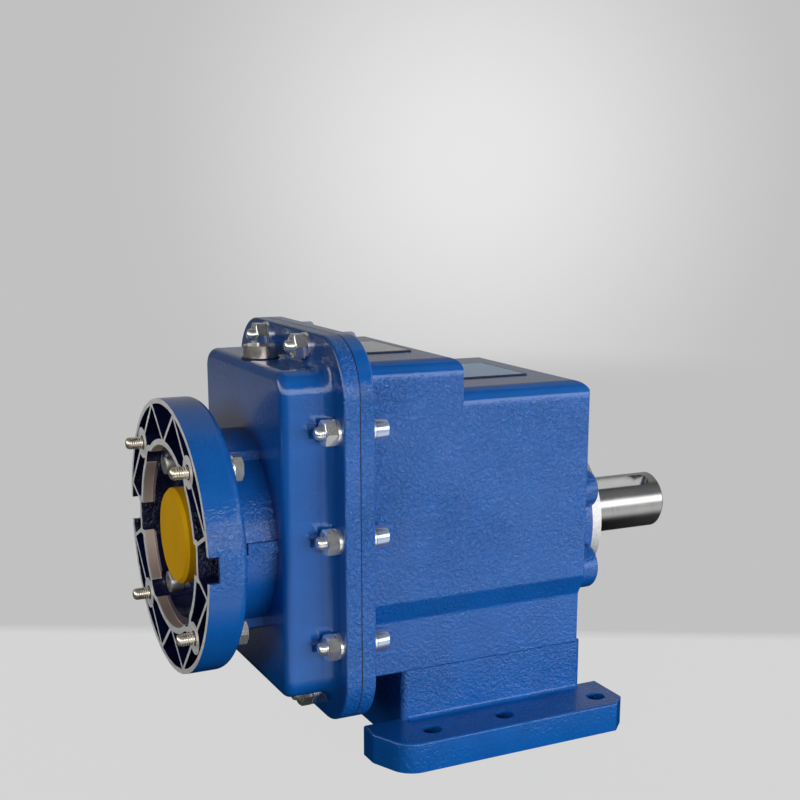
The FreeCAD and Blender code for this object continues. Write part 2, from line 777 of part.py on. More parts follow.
def make_foot():
    """Foot bracket: hollow pedestal on two drilled feet."""
    half = foot_width / 2
    low = lower_width / 2
    rails = []
    for side in (-1, 1):
        outer = side * half
        inner = side * (low - pedestal_edge)
        corners = [(foot_start_x, inner, 0),
                   (foot_start_x, outer - side * foot_bevel_y, foot_corner_radius),
                   (foot_start_x + foot_bevel_x, outer, foot_nose_radius),
                   (foot_end_x - foot_chamfer, outer, 0),
                   (foot_end_x, outer - side * foot_chamfer, 0), (foot_end_x, inner, 0)]
        rail = prism_z(corners, 0, foot_thickness)
        top_edges = []
        for edge in rail.Edges:
            on_top = edge.BoundBox.ZMin > foot_thickness - edge_tolerance
            if on_top and abs(edge.CenterOfMass.y - inner) > edge_tolerance:
                top_edges.append(edge)
        rails.append(rail.makeFillet(foot_edge_round, top_edges))
        strip_y = side * (low + pedestal_fillet)
        strip_z = foot_thickness + pedestal_fillet
        strip = box(pedestal_start_x + pedestal_edge, pedestal_end_x - pedestal_edge,
                    *sorted((inner, strip_y)), foot_thickness - overcut, strip_z)
        rails.append(strip.cut(cylinder_x(foot_start_x, foot_end_x, strip_y, strip_z, pedestal_fillet)))
    block = prism_z(rectangle(pedestal_start_x, pedestal_end_x, -low, low, pedestal_edge), 0, body_bottom_z)
    shape = fuse_all([block] + rails)
    hollow = box(pedestal_start_x + pedestal_wall, pedestal_end_x - pedestal_wall,
                 -low + pedestal_wall, low - pedestal_wall, -overcut, body_bottom_z - pedestal_wall)
    cuts = [hollow]
    for x, y in foot_hole_positions():
        cuts.append(Part.makeCylinder(foot_hole_radius, foot_thickness + 2 * overcut,
                                      FreeCAD.Vector(x, y, -overcut)))
    for x, y in foot_screw_positions():
        cuts.append(Part.makeCylinder(clearance_radius, pedestal_wall + 2 * overcut,
                                      FreeCAD.Vector(x, y, body_bottom_z - pedestal_wall - overcut)))
    return shape.cut(Part.makeCompound(cuts)).removeSplitter()


def socket_screw_x(head_x, seat_x, tip_x, y, z):
    """Socket head screw along X; head_x is its face, seat_x the underside of the head."""
    head = cylinder_x(min(head_x, seat_x), max(head_x, seat_x), y, z, socket_head_radius)
    shank = cylinder_x(min(seat_x, tip_x), max(seat_x, tip_x), y, z, screw_radius)
    inward = math.copysign(socket_head_height / 2, seat_x - head_x)
    outward = math.copysign(overcut, head_x - seat_x)
    socket = hexagon_x(min(head_x + outward, head_x + inward), max(head_x + outward, head_x + inward), y, z,
                       socket_head_radius)
    return fuse_all([head, shank]).cut(socket)


def make_joint_set():
    """Screws, washers and nuts of the joint."""
    screws = []
    washers = []
    head_washers = []
    nuts = []
    nut_x = joint_front_x - washer_thickness
    seat_x = housing_flange_back_x + head_washer_thickness
    tip_x = nut_x - nut_height - thread_reach
    for y, z in joint_positions():
        screws.append(socket_screw_x(seat_x + socket_head_height, seat_x, tip_x, y, z))
        head_washer = cylinder_x(housing_flange_back_x, seat_x, y, z, head_washer_radius)
        head_bore = cylinder_x(housing_flange_back_x - overcut, seat_x + overcut, y, z, clearance_radius)
        head_washers.append(head_washer.cut(head_bore))
        washer = cylinder_x(nut_x, joint_front_x, y, z, washer_radius)
        washer_bore = cylinder_x(nut_x - overcut, joint_front_x + overcut, y, z, clearance_radius)
        washers.append(washer.cut(washer_bore))
        nut = hexagon_x(nut_x - nut_height, nut_x, y, z, hex_width)
        bore = cylinder_x(nut_x - nut_height - overcut, nut_x + overcut, y, z, screw_radius)
        nuts.append(nut.cut(bore))
    return [Part.makeCompound(group) for group in (screws, washers, head_washers, nuts)]


def make_flange_bolts():
    """Motor bolts with hex heads behind the flange, and their spring washers."""
    bolts = []
    washers = []
    seat_x = flange_back_x + washer_thickness
    for y, z in flange_bolt_positions():
        head = hexagon_x(seat_x, seat_x + bolt_head_height, y, z, hex_width)
        shank = cylinder_x(face_x, seat_x + overcut, y, z, screw_radius)
        thread = cylinder_x(face_x - flange_bolt_reach, face_x + overcut, y, z, thread_radius)
        bolts.append(fuse_all([head, shank, thread]))
        washer = cylinder_x(flange_back_x, seat_x, y, z, washer_radius)
        bore = cylinder_x(flange_back_x - overcut, seat_x + overcut, y, z, clearance_radius)
        washers.append(washer.cut(bore))
    return Part.makeCompound(bolts), Part.makeCompound(washers)


def make_adaptor_screws():
    """Screws from the pilot recess into the cover."""
    seat_x = face_x + recess_depth
    screws = []
    for y, z in adaptor_screw_positions():
        tip_x = cover_front_x + cover_front_wall
        screws.append(socket_screw_x(seat_x - socket_head_height, seat_x, tip_x, y, z))
    return Part.makeCompound(screws)


def make_foot_screws():
    """Hex screws from inside the pedestal into the housing floor."""
    seat_z = body_bottom_z - pedestal_wall
    screws = []
    for x, y in foot_screw_positions():
        head = hexagon_x(-bolt_head_height, 0, 0, 0, hex_width)
        shank = cylinder_x(-overcut, pedestal_wall + foot_screw_depth, 0, 0, screw_radius)
        screw = fuse_all([head, shank])
        screw.rotate(FreeCAD.Vector(0, 0, 0), FreeCAD.Vector(0, 1, 0), -90)
        screw.translate(FreeCAD.Vector(x, y, seat_z))
        screws.append(screw)
    return Part.makeCompound(screws)


def make_plug():
    """Fill plug and its sealing washer on the cover's top."""
    head = Part.makeCylinder(plug_radius, plug_height, FreeCAD.Vector(plug_x, 0, plug_seat_z))
    shank = Part.makeCylinder(plug_shank_radius, plug_depth,
                              FreeCAD.Vector(plug_x, 0, plug_seat_z - plug_depth))
    washer = Part.makeCylinder(plug_washer_radius, plug_washer_thickness,
                               FreeCAD.Vector(plug_x, 0, plug_spot_z))
    hole = Part.makeCylinder(plug_shank_radius, plug_washer_thickness + 2 * overcut,
                             FreeCAD.Vector(plug_x, 0, plug_spot_z - overcut))
    return fuse_all([head, shank]), washer.cut(hole)


def make_input_shaft():
    """Hollow input shaft with the motor bore and keyway in front, the pinion bore behind."""
    radius = input_bearing[0] / 2
    collar = radius + collar_height
    tail = radius - input_tail_step
    collar_x = input_rear_end_x + input_collar_length
    end_x = cover_back_x - input_tail_gap
    body = turned_x([(input_front_x, motor_bore_radius), (input_front_x, radius - seat_chamfer),
                     (input_front_x + seat_chamfer, radius), (input_rear_end_x, radius),
                     (input_rear_end_x, collar), (collar_x, collar), (collar_x, tail), (end_x, tail),
                     (end_x, shank_radius), (motor_bore_end_x, shank_radius),
                     (motor_bore_end_x, motor_bore_radius)], input_z)
    half = motor_key_width / 2
    keyway = box(input_front_x - overcut, motor_bore_end_x, -half, half, input_z,
                 input_z + motor_bore_radius + motor_key_depth)
    return body.cut(keyway)


def make_input_pinion():
    """First pinion on the shank that sits in the input shaft."""
    span = (first_gear_x - pinion_extra, first_gear_end_x + pinion_extra)
    teeth = helical_gear(first_pinion_teeth, first_transverse, profile_shift, math.pi / 2, 1, span, input_z)
    shank = cylinder_x(motor_bore_end_x, first_gear_x, 0, input_z, shank_radius)
    return teeth.fuse(shank)


def make_lay_gear(key):
    """Driven gear of the first stage, bored for the layshaft."""
    phase = -math.pi / 2 + math.pi / first_gear_teeth
    gear = helical_gear(first_gear_teeth, first_transverse, -profile_shift, phase, -1,
                        (first_gear_x, first_gear_end_x), lay_z)
    bore = cylinder_x(first_gear_x - overcut, first_gear_end_x + overcut, 0, lay_z, lay_seat_radius)
    return gear.cut(bore).cut(key)


def make_layshaft(key):
    """Layshaft with the second pinion cut on it."""
    front = lay_front_bearing[0] / 2
    rear = lay_rear_bearing[0] / 2
    front_x = lay_front_bearing_x + tip_gap
    collar = lay_seat_radius + collar_height
    collar_end_x = first_gear_end_x + lay_collar_length
    end_x = lay_rear_end_x - tip_gap
    shaft = turned_x([(front_x, 0), (front_x, front - seat_chamfer), (front_x + seat_chamfer, front),
                      (lay_front_end_x, front), (lay_front_end_x, lay_seat_radius),
                      (first_gear_end_x, lay_seat_radius), (first_gear_end_x, collar),
                      (collar_end_x, collar), (collar_end_x, lay_waist_radius),
                      (lay_rear_bearing_x, lay_waist_radius), (lay_rear_bearing_x, rear),
                      (end_x, rear), (end_x, 0)], lay_z)
    span = (second_gear_x - pinion_extra, second_gear_end_x + pinion_extra)
    teeth = helical_gear(second_pinion_teeth, second_transverse, profile_shift, -math.pi / 2, 1, span, lay_z)
    return shaft.cut(key).fuse(teeth)


def make_output_gear(key):
    """Driven gear of the second stage, bored for the output shaft."""
    phase = math.pi / 2 + math.pi / second_gear_teeth
    gear = helical_gear(second_gear_teeth, second_transverse, -profile_shift, phase, -1,
                        (second_gear_x, second_gear_end_x), output_height)
    bore = cylinder_x(second_gear_x - overcut, second_gear_end_x + overcut, 0, output_height, shaft_radius)
    return gear.cut(bore).cut(key)


def make_output_shaft(key):
    """Output shaft: gear seat, collar, bearing journal and the keyed end with its open keyway."""
    front_x = circlip_x - shaft_front_reach
    collar = journal_radius + collar_height
    shaft = turned_x([(front_x, 0), (front_x, shaft_radius - seat_chamfer),
                      (front_x + seat_chamfer, shaft_radius), (second_gear_end_x, shaft_radius),
                      (second_gear_end_x, collar), (output_front_bearing_x, collar),
                      (output_front_bearing_x, journal_radius), (shoulder_x - seat_chamfer, journal_radius),
                      (shoulder_x, journal_radius - seat_chamfer), (shoulder_x, shaft_radius),
                      (shaft_end_x - shaft_chamfer, shaft_radius),
                      (shaft_end_x, shaft_radius - shaft_chamfer), (shaft_end_x, 0)], output_height)
    half = keyway_width / 2
    slot_end = shaft_end_x - keyway_from_end - half
    slot_start = shaft_end_x - keyway_from_end - keyway_length + half
    floor = output_height + shaft_radius - keyway_depth
    rise = keyway_depth + overcut
    slot = fuse_all([box(slot_start, slot_end, -half, half, floor, floor + rise),
                     Part.makeCylinder(half, rise, FreeCAD.Vector(slot_start, 0, floor)),
                     Part.makeCylinder(half, rise, FreeCAD.Vector(slot_end, 0, floor))])
    groove = ring_x(circlip_x, circlip_x + circlip_width, output_height, shaft_radius + overcut,
                    shaft_radius - circlip_depth)
    shaft = shaft.cut(slot).cut(groove)
    shaft.rotate(FreeCAD.Vector(0, 0, output_height), axis_x, keyway_turn)
    return shaft.cut(key)


def make_cap():
    """Yellow cap: a disc with an outer skirt and a sleeve that grips the input shaft's outside."""
    front_x = face_x + cap_setback
    inside_x = front_x + cap_wall
    skirt_x = front_x + cap_skirt
    sleeve = input_bearing[0] / 2 + running_gap
    return turned_x([(front_x, 0), (front_x, cap_radius - cap_round), (front_x + cap_round, cap_radius),
                     (skirt_x, cap_radius), (skirt_x, cap_radius - cap_wall),
                     (inside_x, cap_radius - cap_wall), (inside_x, sleeve + cap_wall),
                     (skirt_x, sleeve + cap_wall), (skirt_x, sleeve), (inside_x, sleeve),
                     (inside_x, 0)], input_z)


def key_box(x0, x1, z, seat_radius, width, height, depth):
    """Key along X at the top of a seat, sunk into the shaft by its depth."""
    bottom = z + seat_radius - depth
    return box(x0 + key_end_gap, x1 - key_end_gap, -width / 2, width / 2, bottom, bottom + height)


def build():
    """All pieces by name."""
    pieces = {}
    pieces["main_housing"] = make_housing()
    pieces["input_cover"] = make_cover()
    pieces["joint_gasket"] = make_gasket()
    pieces["input_flange"] = make_input_flange()
    pieces["foot_bracket"] = make_foot()
    screws, washers, head_washers, nuts = make_joint_set()
    pieces["joint_screws"] = screws
    pieces["joint_washers"] = washers
    pieces["joint_head_washers"] = head_washers
    pieces["joint_nuts"] = nuts
    bolts, bolt_washers = make_flange_bolts()
    pieces["flange_bolts"] = bolts
    pieces["flange_bolt_washers"] = bolt_washers
    pieces["adaptor_screws"] = make_adaptor_screws()
    pieces["foot_screws"] = make_foot_screws()
    plug, plug_washer = make_plug()
    pieces["fill_plug"] = plug
    pieces["fill_plug_washer"] = plug_washer

    bearings = {"input_front": (input_bearing, input_front_bearing_x, input_z),
                "input_rear": (input_bearing, input_rear_bearing_x, input_z),
                "lay_front": (lay_front_bearing, lay_front_bearing_x, lay_z),
                "lay_rear": (lay_rear_bearing, lay_rear_bearing_x, lay_z),
                "output_front": (output_bearing, output_front_bearing_x, output_height),
                "output_rear": (output_bearing, output_rear_bearing_x, output_height)}
    for name, (size, x, z) in bearings.items():
        outer, inner, balls = bearing(size, x, z)
        pieces[name + "_outer_ring"] = outer
        pieces[name + "_inner_ring"] = inner
        pieces[name + "_balls"] = balls
    pieces["input_seal"] = ring_x(input_seal_x, input_seal_x + seal_width, input_z, input_bearing[1] / 2,
                                  input_bearing[0] / 2 + running_gap)
    pieces["output_seal"] = ring_x(output_seal_x, output_seal_x + seal_width, output_height,
                                   output_seal_radius, journal_radius + running_gap)

    pieces["input_shaft"] = make_input_shaft()
    pieces["input_pinion"] = make_input_pinion()
    lay_key = key_box(first_gear_x, first_gear_end_x, lay_z, lay_seat_radius, lay_key_width, lay_key_height,
                      lay_key_depth)
    pieces["lay_key"] = lay_key
    pieces["lay_gear"] = make_lay_gear(lay_key)
    pieces["layshaft"] = make_layshaft(lay_key)
    pieces["lay_spacer"] = ring_x(lay_front_end_x, first_gear_x, lay_z, lay_seat_radius + spacer_height,
                                  lay_seat_radius)
    gear_key = key_box(second_gear_x, second_gear_end_x, output_height, shaft_radius, gear_key_width,
                       gear_key_height, gear_key_depth)
    pieces["output_gear_key"] = gear_key
    pieces["output_gear"] = make_output_gear(gear_key)
    pieces["output_shaft"] = make_output_shaft(gear_key)
    pieces["output_circlip"] = ring_x(circlip_x, circlip_x + circlip_width, output_height,
                                      shaft_radius + circlip_height, shaft_radius - circlip_depth)
    pieces["output_spacer"] = ring_x(output_front_end_x, output_rear_bearing_x, output_height,
                                     journal_radius + spacer_height, journal_radius)
    pieces["shaft_cap"] = make_cap()
    return pieces


os.makedirs("parts", exist_ok=True)
for node, shape in build().items():
    shape.exportStep("parts/" + node + ".step")
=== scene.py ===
import math
from contextlib import contextmanager
from typing import NamedTuple

import bpy
from bpy.props import FloatProperty, FloatVectorProperty, IntProperty, PointerProperty
from bpy.types import Operator, Panel, PropertyGroup
from mathutils import Matrix, Vector


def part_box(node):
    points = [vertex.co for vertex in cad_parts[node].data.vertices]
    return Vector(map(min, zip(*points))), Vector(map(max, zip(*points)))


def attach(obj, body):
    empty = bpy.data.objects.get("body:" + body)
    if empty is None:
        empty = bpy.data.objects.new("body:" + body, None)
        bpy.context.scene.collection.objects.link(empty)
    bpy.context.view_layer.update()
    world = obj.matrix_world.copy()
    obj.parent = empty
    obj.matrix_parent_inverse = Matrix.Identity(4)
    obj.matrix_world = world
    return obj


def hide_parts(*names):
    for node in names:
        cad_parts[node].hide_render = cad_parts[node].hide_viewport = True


bl_info = {
    "name": "Inline helical gearbox",
    "version": (1, 0, 0),
    "blender": (4, 5, 0),
    "location": "View3D > Sidebar > Gearbox",
    "description": "Finishes and fine pieces of a foot-mounted inline helical gearbox",
    "category": "Object",
}

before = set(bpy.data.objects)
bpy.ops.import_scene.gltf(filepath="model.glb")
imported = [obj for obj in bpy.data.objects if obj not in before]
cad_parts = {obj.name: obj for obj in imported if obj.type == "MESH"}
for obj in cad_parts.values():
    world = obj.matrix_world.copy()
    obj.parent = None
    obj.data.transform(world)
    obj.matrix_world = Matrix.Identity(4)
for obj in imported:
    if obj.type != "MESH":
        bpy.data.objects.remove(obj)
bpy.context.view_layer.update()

MM = 0.001
BODY = "gearbox"


def middle(name):
    """Centre of a CAD node's box."""
    low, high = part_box(name)
    return (low + high) / 2


INPUT_Z = middle("shaft_cap").z
OUTPUT_Z = middle("output_shaft").z
FACE_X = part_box("input_flange")[0].x
JOINT_FRONT_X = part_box("joint_washers")[1].x
JOINT_BACK_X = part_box("joint_head_washers")[0].x
HOUSING_END_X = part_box("main_housing")[1].x
TOP_STEP_X = -25 * MM
RAISED_TOP_Z = 177.5 * MM
LOWER_TOP_Z = 164 * MM
PILOT_RADIUS = 40 * MM
PILOT_DEPTH = 4.6 * MM
POCKET_RADIUS = 57.9 * MM
POCKET_DEPTH = 12.2 * MM
REGISTER_RADIUS = 35.2 * MM
REGISTER_LENGTH = 6.9 * MM
ON_FACE = 0.05 * MM


class Lamp(NamedTuple):
    """Place and size in metres and power in watts of a soft lamp."""

    place: tuple
    width: float
    height: float
    power: float


LAMPS = {
    "front": Lamp((0.70, -1.6, 0.12), 2.2, 0.7, 56.0),
    "overhead": Lamp((0.05, -0.25, 1.4), 1.2, 1.2, 1.2),
    "left": Lamp((-1.3, -0.6, 0.5), 0.6, 0.6, 5.8),
    "back": Lamp((0.9, 1.2, 0.3), 1.4, 0.6, 20.0),
}


class Sock:
    """A shader socket that takes part in ordinary arithmetic."""

    def __init__(self, tree, out=None):
        self.tree = tree
        self.out = out

    def node(self, kind, settings=None, inputs=None, output=0):
        """Adds a node of this kind, sets it up, feeds its sockets and gives one output."""
        made = self.tree.nodes.new(kind)
        for key, value in (settings or {}).items():
            setattr(made, key, value)
        for key, value in (inputs or {}).items():
            if isinstance(value, Sock):
                self.tree.links.new(value.out, made.inputs[key])
            else:
                made.inputs[key].default_value = value
        return Sock(self.tree, made.outputs[output])

    def beside(self, output):
        """Another output of the node that this socket belongs to."""
        return Sock(self.tree, self.out.node.outputs[output])

    def math(self, operation, *values):
        """One Math node over this socket and the values after it."""
        inputs = {0: self}
        for index, value in enumerate(values):
            inputs[index + 1] = value
        return self.node("ShaderNodeMath", {"operation": operation}, inputs)

    def reflected(self, operation, value):
        """One Math node with a plain number in front of this socket."""
        return self.node("ShaderNodeMath", {"operation": operation}, {0: value, 1: self})

    def __add__(self, other):
        return self.math("ADD", other)

    def __radd__(self, other):
        return self.reflected("ADD", other)

    def __sub__(self, other):
        return self.math("SUBTRACT", other)

    def __rsub__(self, other):
        return self.reflected("SUBTRACT", other)

    def __mul__(self, other):
        return self.math("MULTIPLY", other)

    def __rmul__(self, other):
        return self.reflected("MULTIPLY", other)

    def __truediv__(self, other):
        return self.math("DIVIDE", other)

    def __rtruediv__(self, other):
        return self.reflected("DIVIDE", other)

    def __gt__(self, other):
        return self.math("GREATER_THAN", other)

    def __lt__(self, other):
        return self.math("LESS_THAN", other)

    def __abs__(self):
        return self.math("ABSOLUTE")

    def ramp(self, low, high, start=0.0, end=1.0):
        """Straight ramp from start at low to end at high, held at both ends."""
        inputs = {0: self, 1: low, 2: high, 3: start, 4: end}
        return self.node("ShaderNodeMapRange", {"clamp": True}, inputs)

    def blend(self, first, second):
        """Mix of two colours by this socket."""
        colours = [part if isinstance(part, Sock) else (*part, 1.0) for part in (first, second)]
        inputs = {0: self, 6: colours[0], 7: colours[1]}
        return self.node("ShaderNodeMix", {"data_type": "RGBA"}, inputs, 2)

    def noise(self, scale, detail=3.0, roughness=0.5, distortion=0.0):
        """Noise on this socket's coordinates, from 0 to 1."""
        inputs = {"Vector": self, "Scale": scale, "Detail": detail, "Roughness": roughness,
                  "Distortion": distortion}
        return self.node("ShaderNodeTexNoise", None, inputs, "Fac")

    def bump(self, distance, strength=1.0):
        """Normal from this socket as a height that reaches the given distance."""
        inputs = {"Strength": strength, "Distance": distance, "Height": self}
        return self.node("ShaderNodeBump", None, inputs, "Normal")


class Finish:
    """A new material with its shader and the coordinates of the piece it covers."""

    def __init__(self, name):
        self.material = bpy.data.materials.new(name)
        self.material.use_nodes = True
        self.tree = self.material.node_tree
        self.tree.nodes.clear()
        self.shader = self.tree.nodes.new("ShaderNodeBsdfPrincipled")
        end = self.tree.nodes.new("ShaderNodeOutputMaterial")
        self.tree.links.new(self.shader.outputs[0], end.inputs[0])
        start = Sock(self.tree)
        self.place = start.node("ShaderNodeTexCoord", output="Object")
        self.x = start.node("ShaderNodeSeparateXYZ", None, {0: self.place})
        self.y = self.x.beside(1)
        self.z = self.x.beside(2)

    def radius(self, height):
        """Distance from the shaft line at this height."""
        rise = self.z - height
        return (self.y * self.y + rise * rise).math("SQRT")

    def stretched(self, along_x, along_y, along_z):
        """Coordinates drawn out for brushed or turned marks."""
        return self.place.node("ShaderNodeMapping", None,
                               {"Vector": self.place, "Scale": (along_x, along_y, along_z)})

    def set(self, **values):
        """Sets or links sockets of the shader; underscores stand for spaces."""
        for key, value in values.items():
            socket = self.shader.inputs[key.replace("_", " ")]
            if isinstance(value, Sock):
                self.tree.links.new(value.out, socket)
            elif socket.type == "RGBA":
                socket.default_value = (*value, 1.0)
            else:
                socket.default_value = value
        return self.material


def give_material(made, material):
    """Makes this the object's one material."""
    made.data.materials.clear()
    made.data.materials.append(material)


def cover_with(material, names):
    """Gives each named CAD node this material."""
    for name in names:
        give_material(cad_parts[name], material)


def scaled(colour, factor):
    """This colour made darker or lighter."""
    return tuple(min(1.0, factor * part) for part in colour)


class GearboxFinish(PropertyGroup):
    """Colours and texture sizes of the finishes."""

    paint: FloatVectorProperty(name="Paint", description="Royal blue of the castings", subtype="COLOR",
                               default=(0.004, 0.084, 0.33), min=0.0, max=1.0)
    # Painted shade: this dark colour stands in for the shade in the flange's pockets and recess, the crease
    # behind the joint flange and the corner before it.
    shade: FloatVectorProperty(name="Pocket paint", description="Paint in the pockets of the flange",
                               subtype="COLOR", default=(0.007, 0.010, 0.055), min=0.0, max=1.0)
    cut_metal: FloatVectorProperty(name="Cut metal", description="Machined faces of the castings",
                                   subtype="COLOR", default=(0.86, 0.85, 0.84), min=0.0, max=1.0)
    worn_metal: FloatVectorProperty(name="Worn metal", description="Brownish wall of the pilot recess",
                                    subtype="COLOR", default=(0.78, 0.64, 0.55), min=0.0, max=1.0)
    ground_steel: FloatVectorProperty(name="Ground steel", description="Output shaft", subtype="COLOR",
                                      default=(0.47, 0.47, 0.46), min=0.0, max=1.0)
    gear_steel: FloatVectorProperty(name="Gear steel", description="Gears, keys and layshaft",
                                    subtype="COLOR", default=(0.42, 0.42, 0.43), min=0.0, max=1.0)
    ring_steel: FloatVectorProperty(name="Bearing steel", description="Rings and balls", subtype="COLOR",
                                    default=(0.66, 0.66, 0.68), min=0.0, max=1.0)
    zinc: FloatVectorProperty(name="Zinc", description="Plated nuts, washers and heads", subtype="COLOR",
                              default=(0.95, 0.95, 0.93), min=0.0, max=1.0)
    brass_zinc: FloatVectorProperty(name="Yellow zinc", description="Plated thread ends", subtype="COLOR",
                                    default=(0.90, 0.82, 0.66), min=0.0, max=1.0)
    plug: FloatVectorProperty(name="Plug", description="Dark steel of the fill plug", subtype="COLOR",
                              default=(0.46, 0.41, 0.37), min=0.0, max=1.0)
    # Blue tint of the socket heads: painted reflection of the blue castings round them.
    zinc_painted_blue_reflection: FloatVectorProperty(name="Blue zinc", description="Plated socket heads", subtype="COLOR",
                                   default=(0.56, 0.68, 0.92), min=0.0, max=1.0)
    cap: FloatVectorProperty(name="Cap", description="Mustard plastic of the cap", subtype="COLOR",
                             default=(0.97, 0.51, 0.002), min=0.0, max=1.0)
    rubber: FloatVectorProperty(name="Rubber", description="Seals", subtype="COLOR",
                                default=(0.018, 0.018, 0.020), min=0.0, max=1.0)
    gasket: FloatVectorProperty(name="Gasket", description="Joint gasket and sealing washer", subtype="COLOR",
                                default=(0.010, 0.014, 0.035), min=0.0, max=1.0)
    plate: FloatVectorProperty(name="Plate", description="Bare plate on the raised top", subtype="COLOR",
                               default=(0.94, 0.93, 0.92), min=0.0, max=1.0)
    film: FloatVectorProperty(name="Film", description="Bluish bare plate on the lower top", subtype="COLOR",
                              default=(0.52, 0.74, 1.0), min=0.0, max=1.0)
    grain: FloatProperty(name="Grain", description="Size of the leathery paint grain", subtype="DISTANCE",
                         unit="LENGTH", default=1.6 * MM, min=0.2 * MM, max=20 * MM)
    grain_height: FloatProperty(name="Grain height", description="Height of the leathery paint grain",
                                subtype="DISTANCE", unit="LENGTH", default=0.36 * MM, min=0.0, max=2 * MM)


class GearboxSizes(PropertyGroup):
    """Sizes of the fine pieces."""

    plate_thickness: FloatProperty(name="Plate thickness", description="Bare plates on the tops",
                                   subtype="DISTANCE", unit="LENGTH", default=0.6 * MM,
                                   min=0.2 * MM, max=3 * MM)
    plate_rim: FloatProperty(name="Plate rim", description="Dark line round a plate", subtype="DISTANCE",
                             unit="LENGTH", default=1.0 * MM, min=0.1 * MM, max=5 * MM)
    thread_radius: FloatProperty(name="Thread radius", description="Crest of the M6 threads",
                                 subtype="DISTANCE", unit="LENGTH", default=2.75 * MM,
                                 min=1 * MM, max=10 * MM)
    thread_depth: FloatProperty(name="Thread depth", description="From crest to root", subtype="DISTANCE",
                                unit="LENGTH", default=0.14 * MM, min=0.1 * MM, max=2 * MM)
    thread_pitch: FloatProperty(name="Thread pitch", description="Advance of the thread in one turn",
                                subtype="DISTANCE", unit="LENGTH", default=1.0 * MM, min=0.3 * MM, max=3 * MM)
    thread_steps: IntProperty(name="Thread steps", description="Faces in one turn of a thread", default=24,
                              min=8, max=64)
    tip_round: FloatProperty(name="Tip round", description="Length of a thread's rounded tip",
                             subtype="DISTANCE", unit="LENGTH", default=1.6 * MM, min=0.1 * MM, max=3 * MM)
    hex_width: FloatProperty(name="Hex width", description="Across the flats of nuts and bolt heads",
                             subtype="DISTANCE", unit="LENGTH", default=10 * MM, min=3 * MM, max=30 * MM)
    head_radius: FloatProperty(name="Head radius", description="Socket heads", subtype="DISTANCE",
                               unit="LENGTH", default=5 * MM, min=2 * MM, max=20 * MM)
    head_height: FloatProperty(name="Head height", description="Socket heads", subtype="DISTANCE",
                               unit="LENGTH", default=6 * MM, min=2 * MM, max=20 * MM)
    socket_width: FloatProperty(name="Socket width", description="Across the flats of the sockets",
                                subtype="DISTANCE", unit="LENGTH", default=5 * MM, min=1 * MM, max=20 * MM)


class GearboxStage(PropertyGroup):
    """Floor, light and camera."""

    floor: FloatVectorProperty(name="Floor", description="Pale floor", subtype="COLOR",
                               default=(0.765, 0.765, 0.765), min=0.0, max=1.0)
    wall: FloatVectorProperty(name="Wall", description="Pale backdrop", subtype="COLOR",
                              default=(0.533, 0.533, 0.537), min=0.0, max=1.0)
    pool: FloatVectorProperty(name="Light pool", description="Brightest part of the backdrop",
                              subtype="COLOR", default=(0.80, 0.80, 0.80), min=0.0, max=1.0)
    lens: FloatProperty(name="Lens", description="Focal length of the camera", subtype="DISTANCE_CAMERA",
                        default=58.5, min=10.0, max=200.0)
    sky: FloatProperty(name="Sky", description="Soft light from all round", default=0.12, min=0.0, max=10.0)
    horizon: FloatProperty(name="Horizon", description="Reflected light just above the floor", default=3.0,
                           min=0.0, max=10.0)
    window: FloatProperty(name="Window", description="Reflected windows at the front", default=0.22,
                          min=0.0, max=10.0)
    zenith: FloatProperty(name="Zenith", description="Reflected sky overhead", default=0.03,
                          min=0.0, max=10.0)


def paint_finish(name, strength, cut=None, dark=None):
    """Glossy blue paint with a leathery grain; cut marks machined metal, dark marks where shade is painted
    into the colour.
    """
    fine_share = 0.35
    grain_shade_and_light = 0.2
    cloud_tone = 0.4
    base_tone = 0.3
    look = bpy.context.scene.gearbox_finish
    skin = Finish(name)
    worms = skin.place.noise(1.0 / look.grain, detail=2.0, distortion=0.6).ramp(0.38, 0.62)
    fine = skin.place.noise(3.0 / look.grain, detail=2.0, roughness=0.6)
    patches = skin.place.noise(22.0, detail=2.0).ramp(0.38, 0.60, start=0.55, end=1.15)
    clouds = skin.place.noise(60.0, detail=2.0)
    depth = patches * strength(skin)
    height = (worms + fine * fine_share) * depth
    # Painted shade and light: the colour is darker in the grain's valleys and lighter on its crests, with
    # random clouds of tone on top.
    tone = (worms - 0.5) * depth * grain_shade_and_light + clouds * cloud_tone + base_tone
    colour = tone.ramp(0.0, 1.0).blend(scaled(look.paint, 0.55), scaled(look.paint, 1.5))
    rough = fine.ramp(0.2, 0.8, start=0.10, end=0.17)
    coat = 0.25
    values = {"Specular_IOR_Level": 0.5, "Coat_Roughness": 0.07}
    # Painted shade: the dark mask blends the paint towards the shade colour.
    if dark is not None:
        colour = dark(skin).blend(colour, look.shade)
    if cut is not None:
        mask = cut(skin)
        scuff = skin.place.noise(700.0)
        bare = scuff.ramp(0.3, 0.7).blend(scaled(look.cut_metal, 0.82), look.cut_metal)
        colour = mask.blend(colour, worn_recess(skin).blend(bare, look.worn_metal))
        rough = mask * (scuff * 0.15 + 0.50) + (1 - mask) * rough
        height = height * (1 - mask)
        coat = (1 - mask) * coat
        values["Metallic"] = mask
    return skin.set(Base_Color=colour, Roughness=rough, Coat_Weight=coat,
                    Normal=height.bump(look.grain_height), **values)


def worn_recess(skin):
    """Depths behind the flange's face where machined metal is brownish."""
    face_edge = 0.6 * MM
    return abs(skin.x - FACE_X - PILOT_DEPTH) < PILOT_DEPTH - face_edge


def cut_flange(skin):
    """Machined face and pilot wall of the input flange."""
    on_wall = 0.2 * MM
    face = skin.x < FACE_X + ON_FACE
    wall = abs(skin.radius(INPUT_Z) - PILOT_RADIUS) < on_wall
    return face.math("MAXIMUM", wall * (skin.x < FACE_X + PILOT_DEPTH))


